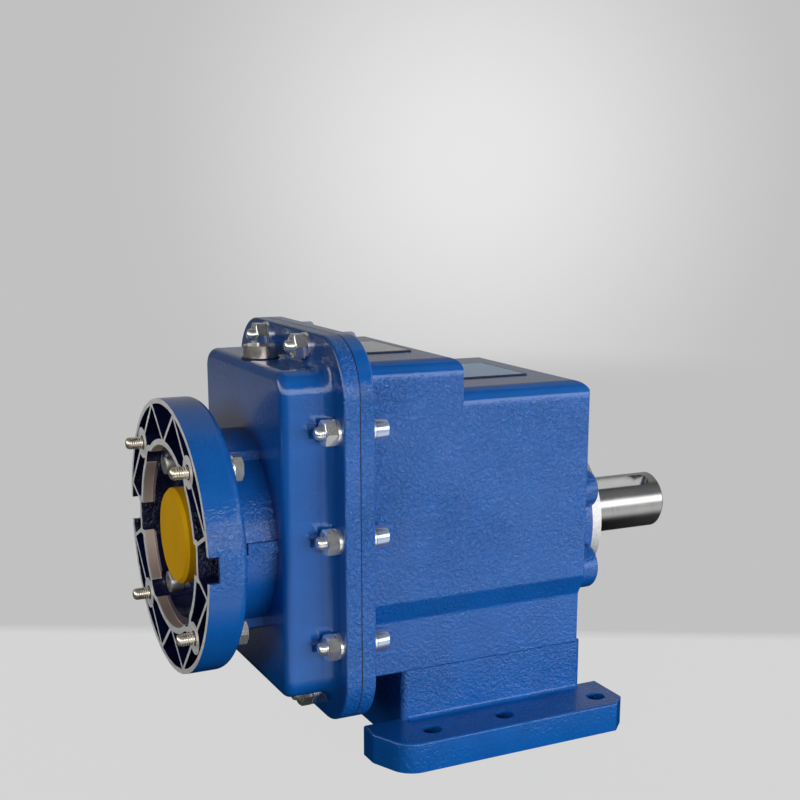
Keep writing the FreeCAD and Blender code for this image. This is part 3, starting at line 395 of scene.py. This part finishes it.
def flange_pocket_shade(skin):
    """Pockets and recess of the input flange, where the paint is darkened as painted shade."""
    return (skin.radius(INPUT_Z) < POCKET_RADIUS) * (skin.x < FACE_X + POCKET_DEPTH)


def cut_housing(skin):
    """Machined register round the output seal."""
    return (skin.x > HOUSING_END_X - REGISTER_LENGTH) * (skin.radius(OUTPUT_Z) < REGISTER_RADIUS)


def housing_crease_shade(skin):
    """Painted shade in the crease between the joint flange and the housing's sides."""
    crease_width = 0.8 * MM
    behind = skin.x - JOINT_BACK_X
    return (behind > ON_FACE) * (behind < crease_width)


def cover_corner_shade(skin):
    """Painted shade in the corner between the cover's sides and the front of the joint flange."""
    corner = skin.x.ramp(JOINT_FRONT_X - 4 * MM, JOINT_FRONT_X - 0.5 * MM, start=0.0, end=0.3)
    return corner * (skin.x < JOINT_FRONT_X + 0.3 * MM)


def housing_grain(skin):
    """Coarse by the joint, finer towards the output end and below, smooth on the tops."""
    edge_drop = 7 * MM
    raised = skin.x < TOP_STEP_X
    edge = raised * (RAISED_TOP_Z - LOWER_TOP_Z) + (LOWER_TOP_Z - edge_drop)
    along = skin.x.ramp(-65 * MM, 30 * MM, start=1.3, end=0.8)
    upward = skin.z.ramp(72 * MM, 105 * MM, start=0.6, end=1.0)
    return along * upward * (skin.z - edge).ramp(-1 * MM, 1 * MM, start=1.0, end=0.05)


def cover_grain(skin):
    """Smooth, with a coarse edge on the joint flange."""
    return skin.x.ramp(JOINT_FRONT_X + 0.1 * MM, JOINT_FRONT_X + 1.5 * MM, start=0.10, end=0.9)


def flange_grain(skin):
    """Coarse on the middle of the rim only."""
    above = skin.z - INPUT_Z
    lower = above.ramp(-15 * MM, 0.0, start=0.12, end=1.6)
    return lower * above.ramp(12 * MM, 25 * MM, start=1.0, end=0.15)


def foot_grain(skin):
    """Coarse on the pedestal, finer on the feet."""
    return skin.z.ramp(15 * MM, 20 * MM, start=0.3, end=0.8)


class GEARBOX_OT_paint_castings(Operator):
    """Blue paint, with bare metal where the castings are machined"""

    bl_idname = "gearbox.paint_castings"
    bl_label = "Paint castings"

    def execute(self, context):
        paints = {
            "main_housing": paint_finish("paint_housing", housing_grain, cut=cut_housing, dark=housing_crease_shade),
            "input_cover": paint_finish("paint_cover", cover_grain, dark=cover_corner_shade),
            "input_flange": paint_finish("paint_flange", flange_grain, cut=cut_flange, dark=flange_pocket_shade),
            "foot_bracket": paint_finish("paint_foot", foot_grain),
        }
        for name, material in paints.items():
            cover_with(material, [name])
        return {"FINISHED"}


def turned_finish(name, colour, rough, lines):
    """Turned or ground metal with fine lines round its shaft."""
    round_scale = 40.0
    mark_share = 0.6
    skin = Finish(name)
    marks = skin.stretched(lines, round_scale, round_scale).noise(1.0, detail=2.0)
    mottle = skin.place.noise(90.0)
    shade = (marks * mark_share + mottle * (1 - mark_share)).ramp(0.3, 0.7)
    tint = shade.blend(scaled(colour, 0.86), scaled(colour, 1.04))
    return skin.set(Base_Color=tint, Metallic=1.0, Roughness=shade * 0.10 + rough,
                    Normal=marks.bump(0.01 * MM, strength=0.5))


def plated_finish(name, colour, rough, beyond=None, other=None):
    """Zinc-plated steel with a mottled passivation; past beyond along X it takes the other colour."""
    rough_spread = 0.07
    skin = Finish(name)
    mottle = skin.place.noise(350.0)
    stain = skin.place.noise(90.0, detail=2.0).ramp(0.4, 0.7, start=0.0, end=0.25)
    tint = mottle.blend(scaled(colour, 0.92), colour)
    tint = stain.blend(tint, scaled(colour, 0.72))
    if beyond is not None:
        tint = (skin.x > beyond).blend(tint, mottle.blend(scaled(other, 0.88), other))
    return skin.set(Base_Color=tint, Metallic=0.85,
                    Roughness=mottle.ramp(0.3, 0.7, start=rough, end=rough + rough_spread),
                    Normal=mottle.bump(0.02 * MM, strength=0.04))


class GEARBOX_OT_finish_metal(Operator):
    """Steel of the shafts, gears and bearings, and the washers and plug"""

    bl_idname = "gearbox.finish_metal"
    bl_label = "Finish metal parts"

    def execute(self, context):
        look = context.scene.gearbox_finish
        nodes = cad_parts
        cover_with(turned_finish("shaft_steel", look.ground_steel, rough=0.17, lines=2500.0),
                   ["output_shaft"])
        cover_with(turned_finish("input_steel", look.ground_steel, rough=0.24, lines=2000.0),
                   ["input_shaft", "lay_spacer", "output_spacer"])
        cover_with(turned_finish("gear_steel", look.gear_steel, rough=0.28, lines=1500.0),
                   ["input_pinion", "lay_gear", "layshaft", "output_gear", "lay_key", "output_gear_key",
                    "output_circlip"])
        cover_with(turned_finish("ring_steel", look.ring_steel, rough=0.18, lines=3000.0),
                   [name for name in nodes if name.endswith("_ring")])
        cover_with(plated_finish("ball_steel", look.ring_steel, rough=0.06),
                   [name for name in nodes if name.endswith("_balls")])
        cover_with(plated_finish("zinc_washers", look.zinc, rough=0.22),
                   ["joint_washers", "joint_head_washers", "flange_bolt_washers", "foot_screws"])
        cover_with(plated_finish("plug_steel", look.plug, rough=0.16), ["fill_plug"])
        return {"FINISHED"}


def moulded_finish(name, colour, rough, grain):
    """Moulded plastic or rubber with a fine grain."""
    wide_share = 0.6
    rough_spread = 0.06
    skin = Finish(name)
    fine = skin.place.noise(grain)
    wide = skin.place.noise(45.0, detail=2.0)
    shade = (wide * wide_share + fine * (1 - wide_share)).ramp(0.3, 0.7)
    return skin.set(Base_Color=shade.blend(scaled(colour, 0.88), colour),
                    Roughness=fine.ramp(0.2, 0.8, start=rough - rough_spread, end=rough + rough_spread),
                    Specular_IOR_Level=0.2, Normal=fine.bump(0.05 * MM, strength=0.15))


class GEARBOX_OT_finish_soft(Operator):
    """Cap, seals, gasket and sealing washer"""

    bl_idname = "gearbox.finish_soft"
    bl_label = "Finish plastic and rubber"

    def execute(self, context):
        look = context.scene.gearbox_finish
        cover_with(moulded_finish("cap_plastic", look.cap, rough=0.5, grain=700.0), ["shaft_cap"])
        cover_with(moulded_finish("seal_rubber", look.rubber, rough=0.5, grain=500.0),
                   ["input_seal", "output_seal"])
        cover_with(moulded_finish("gasket_sheet", look.gasket, rough=0.6, grain=900.0),
                   ["joint_gasket", "fill_plug_washer"])
        return {"FINISHED"}


def only(made):
    """Makes this the one selected and active object."""
    bpy.ops.object.select_all(action="DESELECT")
    made.select_set(True)
    bpy.context.view_layer.objects.active = made


def start_mesh(add, **options):
    """Adds a primitive as the one selected object."""
    bpy.ops.object.select_all(action="DESELECT")
    add(**options)
    made = bpy.context.active_object
    bpy.ops.object.transform_apply(location=True, rotation=True, scale=True)
    return made


@contextmanager
def edit_mode(made):
    """Opens a mesh for editing with all of it selected, and closes it afterwards."""
    only(made)
    bpy.ops.object.mode_set(mode="EDIT")
    bpy.ops.mesh.select_all(action="SELECT")
    yield
    bpy.ops.object.mode_set(mode="OBJECT")


def trace(points):
    """An open line through these points, drawn by extruding one corner."""
    made = start_mesh(bpy.ops.mesh.primitive_plane_add, size=1.0 * MM)
    with edit_mode(made):
        bpy.ops.mesh.merge(type="CENTER")
        bpy.ops.transform.translate(value=points[0])
        for before, after in zip(points, points[1:]):
            step = Vector(after) - Vector(before)
            bpy.ops.mesh.extrude_region_move(TRANSFORM_OT_translate={"value": step})
    return made


def tidy_mesh(made):
    """Merges double corners and turns all faces outwards."""
    with edit_mode(made):
        bpy.ops.mesh.remove_doubles(threshold=0.002 * MM)
        bpy.ops.mesh.normals_make_consistent(inside=False)
    return made


def turned(points, steps=32):
    """A solid turned about the X axis from points given as (along, radius)."""
    made = trace([(along, radius, 0.0) for along, radius in points])
    with edit_mode(made):
        bpy.ops.mesh.spin(steps=steps, angle=math.tau, center=(0.0, 0.0, 0.0), axis=(1.0, 0.0, 0.0))
    return tidy_mesh(made)


def combine(made, tool, operation):
    """Cuts, joins or keeps what two solids share, and takes the second away."""
    only(made)
    change = made.modifiers.new("combine", "BOOLEAN")
    change.operation = operation
    change.solver = "EXACT"
    change.object = tool
    bpy.ops.object.modifier_apply(modifier=change.name)
    bpy.data.objects.remove(tool)
    return tidy_mesh(made)


def slice_off(made, x, keep_above):
    """Cuts a mesh across at x, fills the cut and keeps one side."""
    with edit_mode(made):
        bpy.ops.mesh.bisect(plane_co=(x, 0.0, 0.0), plane_no=(1.0, 0.0, 0.0), use_fill=True,
                            clear_inner=keep_above, clear_outer=not keep_above, threshold=0.001 * MM)


def threaded_rod(tip, end):
    """A threaded length along X with a rounded tip."""
    sizes = bpy.context.scene.gearbox_sizes
    pitch = sizes.thread_pitch
    crest = sizes.thread_radius
    root = crest - sizes.thread_depth
    turns = math.ceil((end - tip) / pitch)
    # The start is off by part of a step, so that no corner lies on a cut.
    start = tip - 2 * pitch - 0.3 * pitch / sizes.thread_steps
    profile = ((0.0, root), (0.15, root), (0.50, crest), (0.65, crest), (1.0, root))
    made = trace([(start + share * pitch, radius, 0.0) for share, radius in profile])
    coil = made.modifiers.new("thread", "SCREW")
    coil.axis = "X"
    coil.angle = math.tau
    coil.screw_offset = pitch
    coil.iterations = turns + 4
    coil.steps = sizes.thread_steps
    coil.render_steps = sizes.thread_steps
    coil.use_merge_vertices = True
    bpy.ops.object.modifier_apply(modifier=coil.name)
    tidy_mesh(made)
    # Both cuts lie beyond the rod, and the blank shapes its ends.
    slice_off(made, tip - pitch, True)
    slice_off(made, tip + (turns + 1) * pitch, False)
    tidy_mesh(made)
    outside = crest + 0.05 * MM
    blank = turned([(tip, 0.0), (tip, 0.55 * root), (tip + 0.3 * sizes.tip_round, 0.86 * root),
                    (tip + sizes.tip_round, outside), (end, outside), (end, 0.0)])
    return combine(made, blank, "INTERSECT")


def hex_prism(width, start, end):
    """A plain hexagon along X with a flat upwards, as stock for another shape."""
    lying = Matrix.Rotation(math.pi / 2, 3, "Y").to_euler()
    return start_mesh(bpy.ops.mesh.primitive_cylinder_add, vertices=6, radius=width / math.sqrt(3.0),
                      depth=end - start, location=((start + end) / 2, 0.0, 0.0), rotation=lying)


def hex_block(start, end, both_ends):
    """A hexagon along X, a flat upwards, with its corners rounded off at one end or both."""
    width = bpy.context.scene.gearbox_sizes.hex_width
    crown = 0.475 * width
    beyond = 1.05 * width / math.sqrt(3.0)
    slope = (beyond - crown) * math.tan(math.radians(30.0))
    ahead = start - 0.05 * MM
    profile = [(ahead, 0.0), (ahead, beyond), (end - slope, beyond), (end, crown), (end, 0.0)]
    if both_ends:
        profile[:2] = [(start, 0.0), (start, crown), (start + slope, beyond)]
    return combine(hex_prism(width, start, end), turned(profile, 48), "INTERSECT")


def socket_head(seat, face):
    """A socket head along X with a rounded edge and a hexagon socket in its face."""
    sizes = bpy.context.scene.gearbox_sizes
    radius = sizes.head_radius
    away = math.copysign(1.0, face - seat)
    lip = 0.2 * MM
    edge = 0.6 * MM
    bend = 0.3 * edge
    made = turned([(seat, 0.0), (seat, radius - lip), (seat + lip * away, radius),
                   (face - edge * away, radius), (face - bend * away, radius - bend),
                   (face, radius - edge), (face, 0.0)], 40)
    depth = 0.5 * sizes.head_height
    tool = hex_prism(sizes.socket_width, face - depth, face + depth)
    return combine(made, tool, "DIFFERENCE")


def join(first, *others):
    """Joins meshes into the first one."""
    only(first)
    for other in others:
        other.select_set(True)
    bpy.ops.object.join()
    return first


def centres(name, spread):
    """Places across X of the equal pieces in one CAD node, told apart by the gaps between them."""
    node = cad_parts[name]
    groups = []
    for corner in node.data.vertices:
        place = node.matrix_world @ corner.co
        point = Vector((place.y, place.z))
        near = [group for group in groups if (group[0] - point).length < spread]
        if near:
            near[0].append(point)
        else:
            groups.append([point])
    found = []
    for group in groups:
        across = [point.x for point in group]
        upward = [point.y for point in group]
        found.append(((min(across) + max(across)) / 2, (min(upward) + max(upward)) / 2))
    return sorted(found)


def place_copies(master, node, material):
    """Puts a copy of the finished master where each of the node's pieces is and takes the master away."""
    only(master)
    bpy.ops.object.shade_smooth_by_angle(angle=math.radians(35.0))
    give_material(master, material)
    spread = 3 * bpy.context.scene.gearbox_sizes.head_radius
    for index, (y, z) in enumerate(centres(node, spread)):
        made = master.copy()
        made.data = master.data.copy()
        bpy.context.collection.objects.link(made)
        made.location = (0.0, y, z)
        only(made)
        bpy.ops.object.transform_apply(location=True, rotation=True, scale=True)
        made.name = f"{node}_{index + 1}"
        made.data.name = made.name
        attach(made, BODY)
        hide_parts(node)
    bpy.data.objects.remove(master)


class GEARBOX_OT_flange_bolts(Operator):
    """Hex bolts of the motor flange with threads that stand out of its face"""

    bl_idname = "gearbox.flange_bolts"
    bl_label = "Add flange bolts"

    def execute(self, context):
        look = context.scene.gearbox_finish
        low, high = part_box("flange_bolts")
        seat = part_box("flange_bolt_washers")[1].x
        bolt = join(threaded_rod(low.x, seat), hex_block(seat, high.x, False))
        plating = plated_finish("yellow_zinc", look.brass_zinc, rough=0.2, beyond=seat, other=look.zinc)
        place_copies(bolt, "flange_bolts", plating)
        return {"FINISHED"}


class GEARBOX_OT_joint_fasteners(Operator):
    """Socket screws and nuts of the joint"""

    bl_idname = "gearbox.joint_fasteners"
    bl_label = "Add joint screws and nuts"

    def execute(self, context):
        look = context.scene.gearbox_finish
        sizes = context.scene.gearbox_sizes
        # Past the joint's back the heads take the blue tint, a painted reflection of the blue paint round
        # them.
        zinc = plated_finish("zinc_plate", look.zinc, rough=0.13, beyond=JOINT_BACK_X,
                             other=look.zinc_painted_blue_reflection)
        low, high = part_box("joint_screws")
        seat = high.x - sizes.head_height
        screw = join(threaded_rod(low.x, seat), socket_head(seat, high.x))
        place_copies(screw, "joint_screws", zinc)
        low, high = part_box("joint_nuts")
        bore = sizes.thread_radius
        flare = 0.55 * MM
        reach = 0.1 * MM
        nut = hex_block(low.x, high.x, True)
        tool = turned([(low.x - reach, 0.0), (low.x - reach, bore + flare), (low.x + flare, bore),
                       (high.x - flare, bore), (high.x + reach, bore + flare), (high.x + reach, 0.0)])
        place_copies(combine(nut, tool, "DIFFERENCE"), "joint_nuts", zinc)
        return {"FINISHED"}


class GEARBOX_OT_adaptor_screws(Operator):
    """Socket screws in the notches of the pilot ring"""

    bl_idname = "gearbox.adaptor_screws"
    bl_label = "Add adaptor screws"

    def execute(self, context):
        look = context.scene.gearbox_finish
        sizes = context.scene.gearbox_sizes
        low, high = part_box("adaptor_screws")
        seat = low.x + sizes.head_height
        inside = seat - 0.5 * MM
        radius = sizes.thread_radius
        rod = turned([(inside, 0.0), (inside, radius), (high.x - sizes.tip_round, radius),
                      (high.x, 0.7 * radius), (high.x, 0.0)])
        screw = join(socket_head(seat, low.x), rod)
        plating = plated_finish("dull_zinc", scaled(look.zinc, 0.7), rough=0.3)
        place_copies(screw, "adaptor_screws", plating)
        return {"FINISHED"}


class GEARBOX_OT_top_plates(Operator):
    """Bare plates on the tops of the housing"""

    bl_idname = "gearbox.top_plates"
    bl_label = "Add top plates"

    def execute(self, context):
        look = context.scene.gearbox_finish
        # Name, both ends along X, half width, height and colour of each plate.
        places = (("raised_plate", -71 * MM, -35 * MM, 20 * MM, RAISED_TOP_Z, look.plate),
                  ("lower_plate", -13 * MM, 24 * MM, 22 * MM, LOWER_TOP_Z, look.film))
        for name, start, end, half_width, top, colour in places:
            low = Vector((start, -half_width, top))
            high = Vector((end, half_width, top))
            self.add_plate(context, name, low, high, colour)
        return {"FINISHED"}

    def add_plate(self, context, name, low, high, colour):
        """One plate between two corners of its place, with rounded edges."""
        sizes = context.scene.gearbox_sizes
        centre = (low + high) / 2
        size = high - low
        made = start_mesh(bpy.ops.mesh.primitive_cube_add, size=1.0,
                          location=centre + Vector((0.0, 0.0, sizes.plate_thickness / 2)),
                          scale=(size.x, size.y, sizes.plate_thickness))
        with edit_mode(made):
            bpy.ops.mesh.bevel(offset=0.2 * MM, segments=2, affect="EDGES")
        give_material(made, self.plate_finish(context, name, centre, size, colour))
        made.name = name
        made.data.name = name
        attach(made, BODY)

    def plate_finish(self, context, name, centre, size, colour):
        """Brushed plate with a dark line along its edges."""
        rim_width = context.scene.gearbox_sizes.plate_rim
        skin = Finish(f"{name}_metal")
        streak = skin.stretched(60.0, 2600.0, 60.0).noise(1.0, detail=2.0)
        beside_x = abs(skin.x - centre.x) > size.x / 2 - rim_width
        beside_y = abs(skin.y - centre.y) > size.y / 2 - rim_width
        rim = beside_x.math("MAXIMUM", beside_y)
        tint = streak.ramp(0.3, 0.7).blend(scaled(colour, 0.9), colour)
        return skin.set(Base_Color=rim.blend(tint, context.scene.gearbox_finish.gasket),
                        Metallic=(1 - rim) * 0.3,
                        Roughness=streak.ramp(0.2, 0.8, start=0.26, end=0.40),
                        Normal=streak.bump(0.01 * MM, strength=0.3))


class GEARBOX_OT_stage(Operator):
    """Floor, backdrop, lights and camera"""

    bl_idname = "gearbox.stage"
    bl_label = "Set the stage"

    yaw = math.radians(-28.16)
    level = Vector((-math.sin(yaw), math.cos(yaw), 0.0))

    def execute(self, context):
        context.scene.view_settings.view_transform = "Standard"
        self.add_camera(context)
        self.add_backdrop(context)
        self.add_sky(context)
        self.add_lamps(context)
        return {"FINISHED"}

    def add_camera(self, context):
        """Camera at the photo's angle."""
        pitch = math.radians(13.15)
        roll = math.radians(0.6)
        eye = Vector((-0.2878, -0.5406, 0.2473))
        side = Vector((math.cos(self.yaw), math.sin(self.yaw), 0.0))
        ahead = self.level * math.cos(pitch) - Vector((0.0, 0.0, math.sin(pitch)))
        above = self.level * math.sin(pitch) + Vector((0.0, 0.0, math.cos(pitch)))
        right = side * math.cos(roll) + above * math.sin(roll)
        up = above * math.cos(roll) - side * math.sin(roll)
        bpy.ops.object.camera_add(location=eye)
        camera = context.active_object
        camera.name = "photo_camera"
        camera.matrix_world = Matrix.Translation(eye) @ Matrix((right, up, -ahead)).transposed().to_4x4()
        camera.data.sensor_width = 36.0
        camera.data.lens = context.scene.gearbox_stage.lens
        camera.data.shift_x = -0.0766
        camera.data.shift_y = 0.1184
        camera.data.clip_start = 0.01
        camera.data.dof.use_dof = False
        context.scene.camera = camera

    def add_backdrop(self, context):
        """Pale floor and wall with a soft pool of light on the wall."""
        distance = 1.6
        size = 12.0
        floor = start_mesh(bpy.ops.mesh.primitive_plane_add, size=size, location=(0.0, 0.0, -0.2 * MM))
        foot = self.level * distance
        wall = start_mesh(bpy.ops.mesh.primitive_plane_add, size=size, location=foot,
                          rotation=(math.pi / 2, 0.0, self.yaw))
        skin = self.backdrop_finish(context, foot)
        for made, name in ((floor, "floor"), (wall, "wall")):
            made.name = name
            made.data.materials.append(skin)

    def wall_colour(self, context, skin, foot):
        """Wall paint with a soft pool of light behind the part."""
        stage = context.scene.gearbox_stage
        pool_radius = 0.62
        pool = foot + Vector((0.02, 0.0, 0.30))
        away = skin.place.node("ShaderNodeVectorMath", {"operation": "DISTANCE"},
                               {0: skin.place, 1: pool}, "Value")
        glow = away.ramp(pool_radius, 0.0)
        return (glow * glow * (3 - 2 * glow)).blend(stage.wall, stage.pool)

    def mirror_level(self, skin, depth, near):
        """How bright reflections see the floor and wall; painted shadow under the part and close before it,
        painted shade behind it, and darker far to its left.
        """
        part_x = -0.02
        half_length = 0.14
        half_width = 0.07
        fade = 0.08
        beside_x = (abs(skin.x - part_x) - half_length).math("MAXIMUM", 0.0)
        beside_y = (abs(skin.y) - half_width).math("MAXIMUM", 0.0)
        # Painted shadow of the part on the floor, seen in reflections.
        under = (beside_x + beside_y).ramp(0.0, fade, start=1.0, end=0.0)
        before = 0 - skin.y
        ahead = before.ramp(0.12, 0.50, start=0.9, end=0.55) * before.ramp(0.06, 0.13, start=0.10, end=1.0)
        ahead = ahead * skin.x.ramp(-0.40, -0.20, start=0.10, end=1.0)
        sideways = skin.x * self.level.y - skin.y * self.level.x
        # Painted shade behind the part, seen in reflections.
        behind = depth.ramp(0.25, 0.65, start=0.04, end=0.32) * sideways.ramp(-1.2, -0.8, start=0.40, end=1.0)
        return (near * ahead + (1 - near) * behind) * (1 - under)

    def backdrop_finish(self, context, foot):
        """Paint of floor and wall, with little shadow to the camera and a level of its own to reflections."""
        floor_edge = 97 * MM
        softness = 8 * MM
        floor_shown = 0.85
        bounce_share = 0.2
        top_level = 2.0
        black = (0.0, 0.0, 0.0)
        skin = Finish("backdrop_paint")
        depth = skin.x * self.level.x + skin.y * self.level.y
        near = depth.ramp(floor_edge + softness, floor_edge - softness)
        colour = near.blend(self.wall_colour(context, skin, foot), context.scene.gearbox_stage.floor)
        camera_ray = skin.place.node("ShaderNodeLightPath", output="Is Camera Ray")
        seen = camera_ray * near.ramp(0.0, 1.0, start=1.0, end=floor_shown)
        mirrored = camera_ray.beside("Is Glossy Ray")
        level = self.mirror_level(skin, depth, near)
        shine = (level / top_level).blend(black, (top_level, top_level, top_level))
        bounce = skin.place.node("ShaderNodeMix", {"data_type": "RGBA"},
                                 {0: bounce_share, 6: (*black, 1.0), 7: colour}, 2)
        return skin.set(Base_Color=seen.blend(mirrored.blend(bounce, black), black), Roughness=0.8,
                        Specular_IOR_Level=0.0, Emission_Strength=1.0,
                        Emission_Color=seen.blend(mirrored.blend(black, shine), colour))

    def add_sky(self, context):
        """Sky that reflections see bright at the horizon, dim overhead, with windows parted by a bar."""
        stage = context.scene.gearbox_stage
        bar_start = 0.37
        bar_end = 0.60
        bar_softness = 0.04
        world = bpy.data.worlds.new("studio")
        context.scene.world = world
        world.use_nodes = True
        world.cycles.sampling_method = "NONE"
        background = world.node_tree.nodes["Background"]
        background.inputs["Color"].default_value = (0.97, 0.98, 1.0, 1.0)
        start = Sock(world.node_tree)
        toward = start.node("ShaderNodeTexCoord", output="Generated")
        across = start.node("ShaderNodeSeparateXYZ", None, {0: toward})
        rise = across.beside(2)
        turn = across.math("ARCTAN2", 0 - across.beside(1))
        bar = turn.ramp(bar_start, bar_start + bar_softness)
        bar = bar * turn.ramp(bar_end - bar_softness, bar_end, start=1.0, end=0.0)
        low = rise.ramp(0.30, 0.38, start=1.0, end=0.0)
        window = rise.ramp(0.72, 0.84, start=stage.window, end=stage.zenith) * (1 - bar)
        reflected = low * stage.horizon + (1 - low) * window
        glossy = start.node("ShaderNodeLightPath", output="Is Glossy Ray")
        seen = glossy.beside("Is Camera Ray") * stage.wall[0]
        level = glossy * reflected + (1 - glossy) * stage.sky + seen
        world.node_tree.links.new(level.out, background.inputs["Strength"])

    def add_lamps(self, context):
        """Soft lamps round the part, out of sight of the camera and of reflections."""
        target = Vector((0.0, 0.0, 0.1))
        for name, (place, width, height, power) in LAMPS.items():
            bpy.ops.object.light_add(type="AREA", location=place)
            lamp = context.active_object
            lamp.name = name
            lamp.data.shape = "RECTANGLE"
            lamp.data.size = width
            lamp.data.size_y = height
            lamp.data.energy = power
            lamp.rotation_euler = (target - Vector(place)).to_track_quat("-Z", "Y").to_euler()
            lamp.visible_glossy = False
            lamp.visible_camera = False


class GEARBOX_PT_sidebar(Panel):
    """Lists what this file makes"""

    bl_label = "Gearbox"
    bl_idname = "GEARBOX_PT_sidebar"
    bl_space_type = "VIEW_3D"
    bl_region_type = "UI"
    bl_category = "Gearbox"

    def draw(self, context):
        layout = self.layout
        for operator in OPERATORS:
            layout.operator(operator.bl_idname)
        for group in (context.scene.gearbox_finish, context.scene.gearbox_sizes, context.scene.gearbox_stage):
            for key in group.__annotations__:
                layout.prop(group, key)


OPERATORS = (
    GEARBOX_OT_paint_castings,
    GEARBOX_OT_finish_metal,
    GEARBOX_OT_finish_soft,
    GEARBOX_OT_flange_bolts,
    GEARBOX_OT_joint_fasteners,
    GEARBOX_OT_adaptor_screws,
    GEARBOX_OT_top_plates,
    GEARBOX_OT_stage,
)
CLASSES = (GearboxFinish, GearboxSizes, GearboxStage, *OPERATORS, GEARBOX_PT_sidebar)


def register():
    """Registers the classes and their settings."""
    for item in CLASSES:
        bpy.utils.register_class(item)
    bpy.types.Scene.gearbox_finish = PointerProperty(type=GearboxFinish)
    bpy.types.Scene.gearbox_sizes = PointerProperty(type=GearboxSizes)
    bpy.types.Scene.gearbox_stage = PointerProperty(type=GearboxStage)


def unregister():
    """Takes the classes and their settings away again."""
    del bpy.types.Scene.gearbox_stage
    del bpy.types.Scene.gearbox_sizes
    del bpy.types.Scene.gearbox_finish
    for item in reversed(CLASSES):
        bpy.utils.unregister_class(item)


def main():
    """Builds the looks."""
    register()
    bpy.ops.gearbox.paint_castings()
    bpy.ops.gearbox.finish_metal()
    bpy.ops.gearbox.finish_soft()
    bpy.ops.gearbox.flange_bolts()
    bpy.ops.gearbox.joint_fasteners()
    bpy.ops.gearbox.adaptor_screws()
    bpy.ops.gearbox.top_plates()
    bpy.ops.gearbox.stage()


if __name__ == "__main__":
    main()
